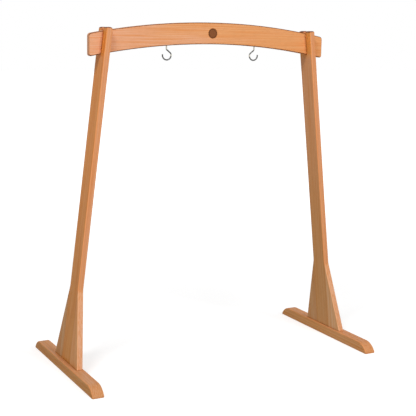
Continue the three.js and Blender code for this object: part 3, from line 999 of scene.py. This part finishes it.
def beech_figure(name):
    """Beech in a board's own frame, X along the grain: growth rings, streaks, fibres and ray flecks."""
    tree, given, out = group_tree(
        name,
        [
            ("Vector", VECTOR, None),
            ("Face", COLOUR, None),
            ("Rose", COLOUR, None),
            ("Late wood", COLOUR, None),
            ("Fleck", COLOUR, None),
            ("Ring spacing", NUMBER, 0.004),
            ("Pink shift", NUMBER, 0.0),
        ],
        [("Color", COLOUR), ("Height", NUMBER), ("Figure", NUMBER)],
    )
    place = given["Vector"]
    sway = noise(tree, place, SWAY_FINENESS)
    from_pith = size_of(tree, stretch(tree, place, (0.0, 1.0, 1.0)))
    grown = calculate(tree, "MULTIPLY_ADD", sway, RING_SWAY, from_pith)
    year = calculate(tree, "FRACT", calculate(tree, "DIVIDE", grown, given["Ring spacing"]))
    build_up = remap(tree, year, 0.35, 0.92)
    fall = remap(tree, year, 0.93, 1.0, 1.0, 0.0)
    late = calculate(tree, "MULTIPLY", build_up, fall)

    blush = calculate(tree, "ADD", noise(tree, place, BLUSH_FINENESS), given["Pink shift"])
    streak = noise(tree, place, STREAK_FINENESS, 4.0, 0.6)
    fibre = noise(tree, place, FIBRE_FINENESS)
    spread = {"Vector": stretch(tree, place, FLECK_FINENESS), "Scale": 1.0}
    cells = add_node(tree, "ShaderNodeTexVoronoi", spread, feature="F1")
    dash = remap(tree, cells.outputs["Distance"], 0.16, 0.34, 1.0, 0.0)
    crowd = remap(tree, noise(tree, place, CROWD_FINENESS, 1.0), 0.4, 0.65)
    flecks = calculate(tree, "MULTIPLY", dash, crowd)

    wood = mix(tree, remap(tree, blush, 0.32, 0.68), given["Face"], given["Rose"])
    wood = mix_in(tree, late, RING_AMOUNT, wood, given["Late wood"])
    wood = mix(tree, remap(tree, streak, 0.42, 0.76, 0.0, STREAK_AMOUNT), wood, given["Late wood"])
    wood = mix_in(tree, flecks, FLECK_AMOUNT, wood, given["Fleck"])
    shade = remap(tree, fibre, 0.3, 0.7, *FIBRE_SHADES)
    tint = add_node(tree, "ShaderNodeCombineColor", {0: shade, 1: shade, 2: shade}).outputs[0]
    wood = mix(tree, 1.0, wood, tint, "MULTIPLY")

    height = calculate(tree, "MULTIPLY_ADD", flecks, -0.6, fibre)
    height = calculate(tree, "MULTIPLY_ADD", late, 0.25, height)
    figure = calculate(tree, "MULTIPLY_ADD", flecks, 0.5, streak)
    tree.links.new(wood, out["Color"])
    tree.links.new(height, out["Height"])
    tree.links.new(figure, out["Figure"])
    return tree


# Painted shade along sharp edges and in inside corners, with the oil soaked in there: what the wood there
# is multiplied by
SHADE_BY_EDGES = (0.97, 0.85, 0.66, 1)


def edge_light_and_end_grain(name):
    """Painted light on a board's rounded edges and wide faces, painted shade along its sharp edges, and
    darker end grain.
    """
    tree, given, out = group_tree(
        name,
        [
            ("Color", COLOUR, None),
            ("Edge", COLOUR, None),
            ("End grain", COLOUR, None),
            ("Vector", VECTOR, None),
            ("Normal", VECTOR, None),
            ("Thickness axis", VECTOR, None),
            ("Grain axis", VECTOR, None),
            ("Wide face light", COLOUR, None),
            ("Edge amount", NUMBER, 0.9),
            ("End amount", NUMBER, 0.5),
            ("Reach", NUMBER, 0.008),
        ],
        [("Color", COLOUR), ("Edge mask", NUMBER), ("End mask", NUMBER), ("Broad mask", NUMBER)],
    )

    def along(axis):
        return calculate(tree, "ABSOLUTE", agreement(tree, given["Normal"], given[axis]))

    squared = calculate(tree, "POWER", along("Thickness axis"), 2.0)
    # Painted light and shade on the wide faces
    wood = mix(tree, squared, given["Color"], given["Wide face light"], "MULTIPLY")
    twice = calculate(tree, "ABSOLUTE", calculate(tree, "MULTIPLY_ADD", squared, 2.0, -1.0))
    rounded = remap(tree, twice, 0.62, 0.99, 1.0, 0.0)
    surface = tree.nodes.new("ShaderNodeNewGeometry").outputs["Normal"]
    eased = add_node(tree, "ShaderNodeBevel", {"Radius": given["Reach"]}, samples=6).outputs["Normal"]
    edge_shade = remap(tree, agreement(tree, surface, eased), 0.998, 0.95)
    worn = noise(tree, given["Vector"], EDGE_PATCH_FINENESS, 3.0)
    edge_patches = remap(tree, worn, 0.35, 0.7, 1.0, 0.85)
    with_grain = along("Grain axis")
    end = remap(tree, with_grain, 0.25, 0.6)
    across = calculate(tree, "SUBTRACT", 1.0, calculate(tree, "POWER", with_grain, 2.0))
    long_edge = remap(tree, calculate(tree, "SUBTRACT", across, squared), 0.0, 0.12)
    mask = calculate(tree, "MULTIPLY", rounded, edge_patches)
    mask = calculate(tree, "MULTIPLY", mask, long_edge)
    # Painted shade along sharp edges and in inside corners
    wood = mix_in(tree, edge_shade, edge_patches, wood, SHADE_BY_EDGES, "MULTIPLY")
    # Painted shade or painted highlight on the rounded edges, as each board is set
    wood = mix_in(tree, mask, given["Edge amount"], wood, given["Edge"])
    wood = mix_in(tree, end, given["End amount"], wood, given["End grain"], "MULTIPLY")
    tree.links.new(wood, out["Color"])
    tree.links.new(mask, out["Edge mask"])
    tree.links.new(end, out["End mask"])
    tree.links.new(squared, out["Broad mask"])
    return tree


# Between which distances from its joint the dark of a glue seam and the painted shade above the foot
# fade out, and the painted bounce light of the fork fades in
SEAM_REACH = (0.2 * MILLIMETRE, 1.4 * MILLIMETRE)
FOOT_SHADE_REACH = (0.5 * MILLIMETRE, 4.0 * MILLIMETRE)
FORK_REACH = (-25.0 * MILLIMETRE, 15.0 * MILLIMETRE)

SEAM_AMOUNT = 0.4
FOOT_SHADE_AMOUNT = 0.5


def seams_and_painted_light(name):
    """Thin dark lines where a wedge is glued to the board, painted shade just above the foot, and painted
    bounce light in the fork.
    """
    tree, given, out = group_tree(
        name,
        [
            ("Color", COLOUR, None),
            ("Line", COLOUR, None),
            ("Vector", VECTOR, None),
            ("Broad mask", NUMBER, 1.0),
            ("Glued at", NUMBER, 0.05),
            ("Glued up to", NUMBER, 0.3),
            ("Foot top", NUMBER, 0.05),
            ("Fork floor", NUMBER, 1.4),
            ("Fork bounce light", COLOUR, None),
        ],
        [("Color", COLOUR)],
    )
    place = parts_of(tree, given["Vector"])
    from_middle = calculate(tree, "ABSOLUTE", place["Y"])
    from_glue = calculate(tree, "ABSOLUTE", calculate(tree, "SUBTRACT", from_middle, given["Glued at"]))
    near = remap(tree, from_glue, *SEAM_REACH, 1.0, 0.0)
    below = calculate(tree, "LESS_THAN", place["Z"], given["Glued up to"])
    seam = calculate(tree, "MULTIPLY", calculate(tree, "MULTIPLY", near, below), given["Broad mask"])
    above_foot = calculate(tree, "SUBTRACT", place["Z"], given["Foot top"])
    # Painted shade just above the foot
    foot_shade = remap(tree, above_foot, *FOOT_SHADE_REACH, 1.0, 0.0)
    wood = mix_in(tree, seam, SEAM_AMOUNT, given["Color"], given["Line"])
    wood = mix_in(tree, foot_shade, FOOT_SHADE_AMOUNT, wood, given["Line"])
    # Painted bounce light on the wide faces in the fork
    above_fork = calculate(tree, "SUBTRACT", place["Z"], given["Fork floor"])
    in_fork = remap(tree, above_fork, *FORK_REACH)
    wood = mix_in(tree, in_fork, given["Broad mask"], wood, given["Fork bounce light"], "MULTIPLY")
    tree.links.new(wood, out["Color"])
    return tree


# How each kind of board lies: what turns its grain to X, and the axes of its grain and thickness

def bar_lie():
    return (math.pi / 2, 0, 0), Vector((1, 0, 0)), Vector((0, 1, 0))


def leg_lie(side):
    lean = side * settings().leg.lean
    turn = leg_frame(side).to_3x3()
    return (0, math.pi / 2 + lean, 0), turn @ Vector((0, 0, 1)), turn @ Vector((1, 0, 0))


def foot_lie():
    return (0, 0, -math.pi / 2), Vector((0, 1, 0)), Vector((1, 0, 0))


def dowel_lie():
    return (0, math.pi / 2, 0), Vector((0, 0, 1)), Vector((1, 0, 0))


PLAIN = (1.0, 1.0, 1.0)


def finish(log, blush, tone, edge, end, top=PLAIN, floor=None, shift=0.0, right_end_shade=None, fork=PLAIN):
    """What sets a board apart.

    Log is where the middle of its log lies from it, X along the grain. Blush is how pink its least
    and its most pink parts are, and shift is how that changes along the stand. Tone multiplies its
    colour. Top and floor do so once more on its wide faces, at the top and at the floor: painted light
    and shade, on the legs darker towards the floor. Fork does so on the leg's wide faces in its fork:
    painted bounce light. Edge is the colour of its rounded edges and how strong it is: painted shade on
    the crossbar, painted highlights on the other boards, on the legs and feet with a little wear. End
    is how dark its end grain is, and right end is the same at the crossbar's right end, made darker
    there as painted shade.
    """
    return {
        "log": log,
        "blush": blush,
        "shift": shift,
        "tone": tone,
        "wide_face_light": (top, floor or top),
        "edge": edge,
        "end": (end, right_end_shade or end),
        "fork": fork,
    }


# Top, floor, fork, the edge colours and the crossbar's right end put painted light and shade on the boards
FINISHES = {
    "crossbar": finish(
        log=(15.5, 0.052, 0.06), blush=(0.0, 1.0), shift=-0.4,
        tone=(1.03, 1.035, 1.03), edge=("dark", 1.0), end=0.15, right_end_shade=0.75,
    ),
    "post_left": finish(
        log=(1.59, 0.035, -0.55), blush=(0.0, 0.3),
        tone=(0.95, 0.93, 1.02), top=(1.12, 0.97, 0.5), floor=(0.88, 0.81, 0.36),
        edge=("rubbed_highlight", 0.8), end=0.95, fork=(1.03, 1.0, 0.85),
    ),
    "post_right": finish(
        log=(0.9, 0.035, 0.65), blush=(0.0, 0.3),
        tone=(0.95, 0.93, 1.02), top=(1.04, 1.11, 1.05), floor=(0.89, 1.0, 0.78),
        edge=("rubbed_highlight", 0.8), end=0.95, fork=(1.05, 0.95, 0.5),
    ),
    "gusset_left_front": finish(
        log=(8.96, 0.09, -0.44), blush=(0.4, 0.9),
        tone=(1.01, 1.06, 1.1), top=(0.9, 0.84, 0.54), edge=("pale", 0.85), end=0.1,
    ),
    "gusset_left_back": finish(
        log=(7.04, -0.09, -0.44), blush=(0.1, 0.5),
        tone=(1.01, 1.06, 1.1), top=(0.73, 0.77, 0.64), edge=("pale", 0.85), end=0.1,
    ),
    "gusset_right_front": finish(
        log=(6.24, 0.09, 0.76), blush=(0.4, 0.9),
        tone=(1.0, 1.05, 1.08), top=(0.98, 1.09, 0.97), edge=("pale", 0.85), end=0.1,
    ),
    "gusset_right_back": finish(
        log=(7.64, -0.09, 0.76), blush=(0.4, 0.9),
        tone=(1.0, 1.05, 1.08), top=(0.81, 0.84, 0.68), edge=("pale", 0.85), end=0.1,
    ),
    "foot_left": finish(
        log=(8.66, -0.6, 0.045), blush=(0.0, 0.5),
        tone=(0.87, 0.9, 0.93), top=(0.86, 0.81, 0.36), edge=("rubbed_highlight", 0.6), end=0.0,
    ),
    "foot_right": finish(
        log=(7.94, 0.6, 0.045), blush=(0.0, 0.5),
        tone=(0.91, 0.88, 0.8), top=(0.99, 1.07, 0.94), edge=("rubbed_highlight", 0.6), end=0.0,
    ),
    "dowel": finish(
        log=(0.2, 0.05, 0.03), blush=(0.3, 1.0),
        tone=(1.0, 1.05, 1.05), edge=("rubbed_highlight", 0.3), end=0.2,
    ),
}

# Heights at which the painted light and shade for the floor ends and that for the top begins, and the
# places along X between which the crossbar's right end, with its painted shade, begins
WIDE_FACE_LIGHT_HEIGHTS = (0.15, 1.25)
RIGHT_END_SHADE_BLEND = (0.55, 0.65)

WOOD_SHEEN = 0.1


def beech(name, kind, lie, glued=False):
    """Oiled beech for one board; where it is glued, dark seams, painted shade above the foot and painted
    bounce light in its fork.
    """
    look = settings().wood
    own = FINISHES[kind]
    turn, grain_axis, thickness_axis = lie
    material, tree, shader = new_material(name)
    coordinates = tree.nodes.new("ShaderNodeTexCoord").outputs
    spot = coordinates["Object"]
    lie_in_log = {"Vector": spot, "Rotation": turn, "Location": own["log"]}
    grain = add_node(tree, "ShaderNodeMapping", lie_in_log).outputs[0]
    where = parts_of(tree, spot)

    def toned(value):
        return (*[channel * part for channel, part in zip(value, own["tone"])], 1)

    plain, pink = [toned(Vector(look.face).lerp(look.rose, part)) for part in own["blush"]]
    figure = use_group(tree, "Beech figure", beech_figure, {
        "Vector": grain,
        "Face": plain,
        "Rose": pink,
        "Late wood": toned(look.late),
        "Fleck": toned(look.fleck),
        "Ring spacing": look.ring_spacing,
        "Pink shift": calculate(tree, "MULTIPLY", where["X"], own["shift"]),
    })
    # Painted light and shade for the wide faces, at the top and at the floor
    top, floor = [(*value, 1) for value in own["wide_face_light"]]
    edge, amount = own["edge"]
    surface = use_group(tree, "Edge light and end grain", edge_light_and_end_grain, {
        "Color": figure["Color"],
        "Edge": (*getattr(look, edge), 1),
        "Edge amount": amount,
        "End grain": (*look.soaked, 1),
        # The crossbar's darker right end is painted shade
        "End amount": remap(tree, where["X"], *RIGHT_END_SHADE_BLEND, *own["end"]),
        "Wide face light": mix(tree, remap(tree, where["Z"], *WIDE_FACE_LIGHT_HEIGHTS), floor, top),
        "Vector": grain,
        "Normal": coordinates["Normal"],
        "Thickness axis": thickness_axis,
        "Grain axis": grain_axis,
    })
    wood = surface["Color"]
    if glued:
        foot_top = settings().foot.height
        # Dark glue seams, painted shade above the foot and painted bounce light in the fork
        wood = use_group(tree, "Seams and painted light", seams_and_painted_light, {
            "Color": wood,
            "Line": (*look.dark, 1),
            "Vector": spot,
            "Broad mask": surface["Broad mask"],
            "Glued at": settings().leg.depth / 2,
            "Glued up to": foot_top + settings().leg.wedge_height,
            "Foot top": foot_top,
            "Fork floor": arch_height(under_radius(), joint_x()),
            "Fork bounce light": (*own["fork"], 1),
        })["Color"]
    tree.links.new(wood, shader.inputs["Base Color"])
    rough = remap(tree, figure["Figure"], 0.25, 0.95, look.roughness - 0.05, look.roughness + 0.09)
    rough = calculate(tree, "MULTIPLY_ADD", surface["Edge mask"], -0.07, rough)
    rough = calculate(tree, "MULTIPLY_ADD", surface["End mask"], 0.08, rough)
    tree.links.new(rough, shader.inputs["Roughness"])
    roughen(tree, shader, figure["Height"], 0.45, 0.12 * MILLIMETRE)
    shader.inputs["Specular IOR Level"].default_value = WOOD_SHEEN
    return material


# Colours of the inlay's woods and of the steel, each with that of its darker or duller parts
DARK_INLAY = (0.2, 0.068, 0.021, 1), (0.14, 0.047, 0.014, 1)
BROWN_INLAY = (0.265, 0.092, 0.03, 1), (0.19, 0.064, 0.02, 1)
HOOK_STEEL = (0.11, 0.112, 0.108, 1), (0.075, 0.076, 0.072, 1)
SCREW_STEEL = (0.55, 0.5, 0.38, 1), (0.4, 0.36, 0.28, 1)

HOOK_ROUGHNESS = 0.26
SCREW_ROUGHNESS = 0.3

# A painted highlight on the hooks, what steel reflects at a low angle, and how softly and how strongly
# the painted highlight shows on the shank, and how far on the belly
PAINTED_GLINT = (0.5, 0.48, 0.41, 1)
EDGE_REFLECTION = (0.25, 0.24, 0.22, 1)
SHANK_BLEND = 2.0 * MILLIMETRE
SHANK_AMOUNT = 0.9
BELLY_SPOT = 3.0 * MILLIMETRE


def stained_wood(name, base, dark):
    """Dark close-grained hardwood for the inlay."""
    material, tree, shader = new_material(name)
    place = tree.nodes.new("ShaderNodeTexCoord").outputs["Object"]
    streak = noise(tree, place, (90.0, 900.0, 900.0), 4.0, 0.6)
    pore = noise(tree, place, (400.0, 3000.0, 3000.0), 1.0)
    wood = mix(tree, remap(tree, streak, 0.35, 0.68), base, dark)
    wood = mix(tree, remap(tree, pore, 0.58, 0.7, 0.0, 0.5), wood, dark)
    tree.links.new(wood, shader.inputs["Base Color"])
    tree.links.new(remap(tree, streak, 0.3, 0.7, 0.34, 0.46), shader.inputs["Roughness"])
    roughen(tree, shader, calculate(tree, "SUBTRACT", streak, pore), 0.4, 0.08 * MILLIMETRE)
    shader.inputs["Specular IOR Level"].default_value = WOOD_SHEEN
    return material


def drawn_steel(name, base, worn, rough, bright=None):
    """Zinc-plated steel: fine drawing marks, dull patches and a little wear.

    Bright is a mask of where a painted highlight goes, made from the material's tree.
    """
    material, tree, shader = new_material(name)
    place = tree.nodes.new("ShaderNodeTexCoord").outputs["Object"]
    dull = noise(tree, place, (160.0, 160.0, 160.0), 3.0, 0.6)
    grit = noise(tree, place, (1400.0, 1400.0, 500.0))
    skin = mix(tree, remap(tree, dull, 0.42, 0.66), base, worn)
    if bright:
        # A painted highlight where the mask says
        skin = mix(tree, bright(tree, place), skin, PAINTED_GLINT)
    tree.links.new(skin, shader.inputs["Base Color"])
    shine = remap(tree, dull, 0.3, 0.7, rough, rough + 0.16)
    tree.links.new(shine, shader.inputs["Roughness"])
    roughen(tree, shader, grit, 0.25, 0.05 * MILLIMETRE)
    shader.inputs["Metallic"].default_value = 1.0
    shader.inputs["Specular Tint"].default_value = EDGE_REFLECTION
    return material


def hook_highlight_mask(tree, place):
    """Where a hook gets a painted highlight: on its shank, and where its belly turns towards the middle.
    """
    hook = settings().hook
    shank_x = hook.spacing / 2
    wood_z = arch_height(under_radius(), shank_x)
    slant_z = wood_z - hook.drop
    parts = parts_of(tree, place)
    shank = remap(tree, parts["Z"], slant_z - SHANK_BLEND, slant_z + SHANK_BLEND)
    from_middle = calculate(tree, "ABSOLUTE", parts["X"])
    across = calculate(tree, "SUBTRACT", from_middle, shank_x - hook.eye_shift - hook.eye_radius)
    down = calculate(tree, "SUBTRACT", parts["Z"], wood_z + hook_eye_height())
    apart = add_node(tree, "ShaderNodeCombineXYZ", {0: across, 1: down}).outputs[0]
    belly = remap(tree, size_of(tree, apart), BELLY_SPOT, 2 * BELLY_SPOT, 1.0, 0.0)
    return calculate(tree, "MAXIMUM", calculate(tree, "MULTIPLY", shank, SHANK_AMOUNT), belly)


# Operators

class GONG_STAND_OT_crossbar(bpy.types.Operator):
    """Model the arched crossbar with its housings for the legs"""

    bl_idname = "gong_stand.crossbar"
    bl_label = "Crossbar"

    def execute(self, context):
        wood = beech("Crossbar beech", "crossbar", bar_lie())
        add_piece(crossbar_mesh(), "arched_crossbar", "crossbar", wood)
        return {"FINISHED"}


class GONG_STAND_OT_inlay(bpy.types.Operator):
    """Model the round two-tone inlay in the crossbar's front"""

    bl_idname = "gong_stand.inlay"
    bl_label = "Inlay"

    def execute(self, context):
        dark = stained_wood("Dark inlay", *DARK_INLAY)
        brown = stained_wood("Brown inlay", *BROWN_INLAY)
        hollow = (DISC_HIGH.x - DISC_LOW.x) / 2 + FIT
        add_piece(inlay_body(RING_LOW, RING_HIGH, hollow), "inlay_outer_ring", "inlay_ring", dark)
        add_piece(inlay_body(DISC_LOW, DISC_HIGH, 0), "inlay_middle", "inlay_disc", brown)
        return {"FINISHED"}


class GONG_STAND_OT_hooks(bpy.types.Operator):
    """Model the two screw hooks"""

    bl_idname = "gong_stand.hooks"
    bl_label = "Hooks"

    def execute(self, context):
        steel = drawn_steel("Hook steel", *HOOK_STEEL, HOOK_ROUGHNESS, hook_highlight_mask)
        for word, side in SIDES.items():
            add_piece(hook_mesh(side), f"screw_hook_{word}", f"hook_{word}", steel)
        return {"FINISHED"}


class GONG_STAND_OT_legs(bpy.types.Operator):
    """Model the leaning leg boards with their forks"""

    bl_idname = "gong_stand.legs"
    bl_label = "Leg boards"

    def execute(self, context):
        for word, side in SIDES.items():
            wood = beech(f"Leg beech {word}", f"post_{word}", leg_lie(side), True)
            add_piece(post_mesh(word, side), f"leg_board_{word}", f"post_{word}", wood)
        return {"FINISHED"}


class GONG_STAND_OT_wedges(bpy.types.Operator):
    """Model the wedges at the foot of each leg"""

    bl_idname = "gong_stand.wedges"
    bl_label = "Wedges"

    def execute(self, context):
        for word, side in SIDES.items():
            for where, face in FACES.items():
                node = f"gusset_{word}_{where}"
                wood = beech(f"Wedge beech {word} {where}", node, leg_lie(side), True)
                mesh = wedge_mesh(word, side, where, face)
                add_piece(mesh, f"wedge_{word}_{where}", node, wood)
        return {"FINISHED"}


class GONG_STAND_OT_feet(bpy.types.Operator):
    """Model the long feet with their falling ends"""

    bl_idname = "gong_stand.feet"
    bl_label = "Feet"

    def execute(self, context):
        for word, side in SIDES.items():
            wood = beech(f"Foot beech {word}", f"foot_{word}", foot_lie())
            add_piece(foot_mesh(word, side), f"foot_bar_{word}", f"foot_{word}", wood)
        return {"FINISHED"}


class GONG_STAND_OT_fixings(bpy.types.Operator):
    """Model the wood screws and finish the dowels that hold the legs to the feet"""

    bl_idname = "gong_stand.fixings"
    bl_label = "Fixings"

    def execute(self, context):
        steel = drawn_steel("Screw steel", *SCREW_STEEL, SCREW_ROUGHNESS)
        pale = beech("Dowel beech", "dowel", dowel_lie())
        for word in SIDES:
            for where in FACES:
                node = f"screw_{word}_{where}"
                add_piece(screw_mesh(node), f"wood_screw_{word}_{where}", node, steel)
            for where in DOWEL_PLACES:
                dowel = frame["nodes"][f"dowel_{word}_{where}"]
                dowel.material_slots[0].material = pale
        return {"FINISHED"}


# Stage

def white_where_seen(tree, other):
    """A strength that is 1 for the camera and in reflections, and another value for the rest."""
    path = tree.nodes.new("ShaderNodeLightPath").outputs
    seen = calculate(tree, "MAXIMUM", path["Is Camera Ray"], path["Is Glossy Ray"])
    seen = calculate(tree, "MAXIMUM", seen, path["Is Transmission Ray"])
    return calculate(tree, "MULTIPLY_ADD", seen, 1.0 - other, other)


def set_world(ambient):
    """Surroundings that look white and give a weak light from all round."""
    world = bpy.data.worlds.new("Studio")
    world.use_nodes = True
    tree = world.node_tree
    back = tree.nodes["Background"]
    back.inputs["Color"].default_value = (1, 1, 1, 1)
    tree.links.new(white_where_seen(tree, ambient), back.inputs["Strength"])
    bpy.context.scene.world = world


# The floor glows less near the stand, where its shadows lie, than far away
FLOOR_SIZE = 60.0
FLOOR_GLOW = 0.6
FLOOR_NEAR = 1.0
FLOOR_FAR = 5.0


def lay_floor(brightness):
    """A wide white floor that takes soft shadows near the stand."""
    bm = bmesh.new()
    bmesh.ops.create_grid(bm, x_segments=1, y_segments=1, size=FLOOR_SIZE / 2)
    mesh = bpy.data.meshes.new("studio_floor")
    bm.to_mesh(mesh)
    bm.free()
    floor = bpy.data.objects.new("studio_floor", mesh)
    bpy.context.scene.collection.objects.link(floor)
    material, tree, shader = new_material("Floor paper")
    shader.inputs["Base Color"].default_value = (brightness, brightness, brightness, 1)
    shader.inputs["Roughness"].default_value = 1.0
    shader.inputs["Specular IOR Level"].default_value = 0.0
    shader.inputs["Emission Color"].default_value = (1, 1, 1, 1)
    place = tree.nodes.new("ShaderNodeTexCoord").outputs["Object"]
    glow = remap(tree, size_of(tree, place), FLOOR_NEAR, FLOOR_FAR, FLOOR_GLOW, 1.0)
    glow = calculate(tree, "MULTIPLY", white_where_seen(tree, 0.0), glow)
    tree.links.new(glow, shader.inputs["Emission Strength"])
    mesh.materials.append(material)


LAMP_SIZE = 2.4
LAMP_TARGET = (0, 0, 0.9)
KEY_PLACE = (1.9, -7.0, 4.3)
SIDE_PLACE = (-3.9, -3.3, 7.0)


def hang_lamp(name, power, place):
    """A soft square lamp that shines on the middle of the stand."""
    light = bpy.data.lights.new(name, "AREA")
    light.shape = "SQUARE"
    light.size = LAMP_SIZE
    light.energy = power
    lamp = bpy.data.objects.new(name, light)
    lamp.location = place
    lamp.rotation_euler = (Vector(LAMP_TARGET) - Vector(place)).to_track_quat("-Z", "Y").to_euler()
    bpy.context.scene.collection.objects.link(lamp)


# Where the photograph was taken from
CAMERA_PLACE = (-2.101, -3.9437, 1.4872)
CAMERA_YAW = math.radians(27.933)
CAMERA_PITCH = math.radians(10.211)
CAMERA_ROLL = math.radians(1.111)
CAMERA_SHIFT = (0.0046, 0.0021)
SENSOR = 36.0


def set_camera(lens):
    data = bpy.data.cameras.new("Camera")
    data.sensor_fit = "HORIZONTAL"
    data.sensor_width = SENSOR
    data.lens = lens
    data.shift_x, data.shift_y = CAMERA_SHIFT
    camera = bpy.data.objects.new("Camera", data)
    aim = Matrix.Rotation(-CAMERA_YAW, 4, "Z") @ Matrix.Rotation(math.pi / 2 - CAMERA_PITCH, 4, "X")
    camera.matrix_world = Matrix.Translation(CAMERA_PLACE) @ aim @ Matrix.Rotation(CAMERA_ROLL, 4, "Z")
    bpy.context.scene.collection.objects.link(camera)
    bpy.context.scene.camera = camera


class GONG_STAND_OT_stage(bpy.types.Operator):
    """Set up the floor, the lamps, the surroundings and the camera"""

    bl_idname = "gong_stand.stage"
    bl_label = "Stage"

    def execute(self, context):
        look = settings().stage
        context.scene.view_settings.view_transform = "Standard"
        set_world(look.ambient)
        lay_floor(look.floor)
        hang_lamp("Key lamp", look.key_power, KEY_PLACE)
        hang_lamp("Side lamp", look.side_power, SIDE_PLACE)
        set_camera(look.lens)
        return {"FINISHED"}


OPERATORS = [
    GONG_STAND_OT_crossbar,
    GONG_STAND_OT_inlay,
    GONG_STAND_OT_hooks,
    GONG_STAND_OT_legs,
    GONG_STAND_OT_wedges,
    GONG_STAND_OT_feet,
    GONG_STAND_OT_fixings,
    GONG_STAND_OT_stage,
]


class GONG_STAND_PT_sidebar(bpy.types.Panel):
    """Lists the stand's pieces and sizes in the 3D view's sidebar"""

    bl_idname = "GONG_STAND_PT_sidebar"
    bl_label = "Gong Stand"
    bl_space_type = "VIEW_3D"
    bl_region_type = "UI"
    bl_category = "Gong Stand"

    def draw(self, context):
        stand = context.scene.gong_stand
        for operator in OPERATORS:
            self.layout.operator(operator.bl_idname)
        for part in StandSettings.__annotations__:
            box = self.layout.box()
            box.label(text=part.capitalize())
            group = getattr(stand, part)
            for size in group.__annotations__:
                box.prop(group, size)


CLASSES = [
    CrossbarSizes,
    LegSizes,
    FootSizes,
    HookSizes,
    WoodLook,
    StageLook,
    StandSettings,
    *OPERATORS,
    GONG_STAND_PT_sidebar,
]


def register():
    for item in CLASSES:
        bpy.utils.register_class(item)
    bpy.types.Scene.gong_stand = PointerProperty(name="Gong stand", type=StandSettings)


def unregister():
    del bpy.types.Scene.gong_stand
    for item in reversed(CLASSES):
        bpy.utils.unregister_class(item)


def main():
    register()
    for operator in OPERATORS:
        prefix, name = operator.bl_idname.split(".")
        getattr(getattr(bpy.ops, prefix), name)()


if __name__ == "__main__":
    main()
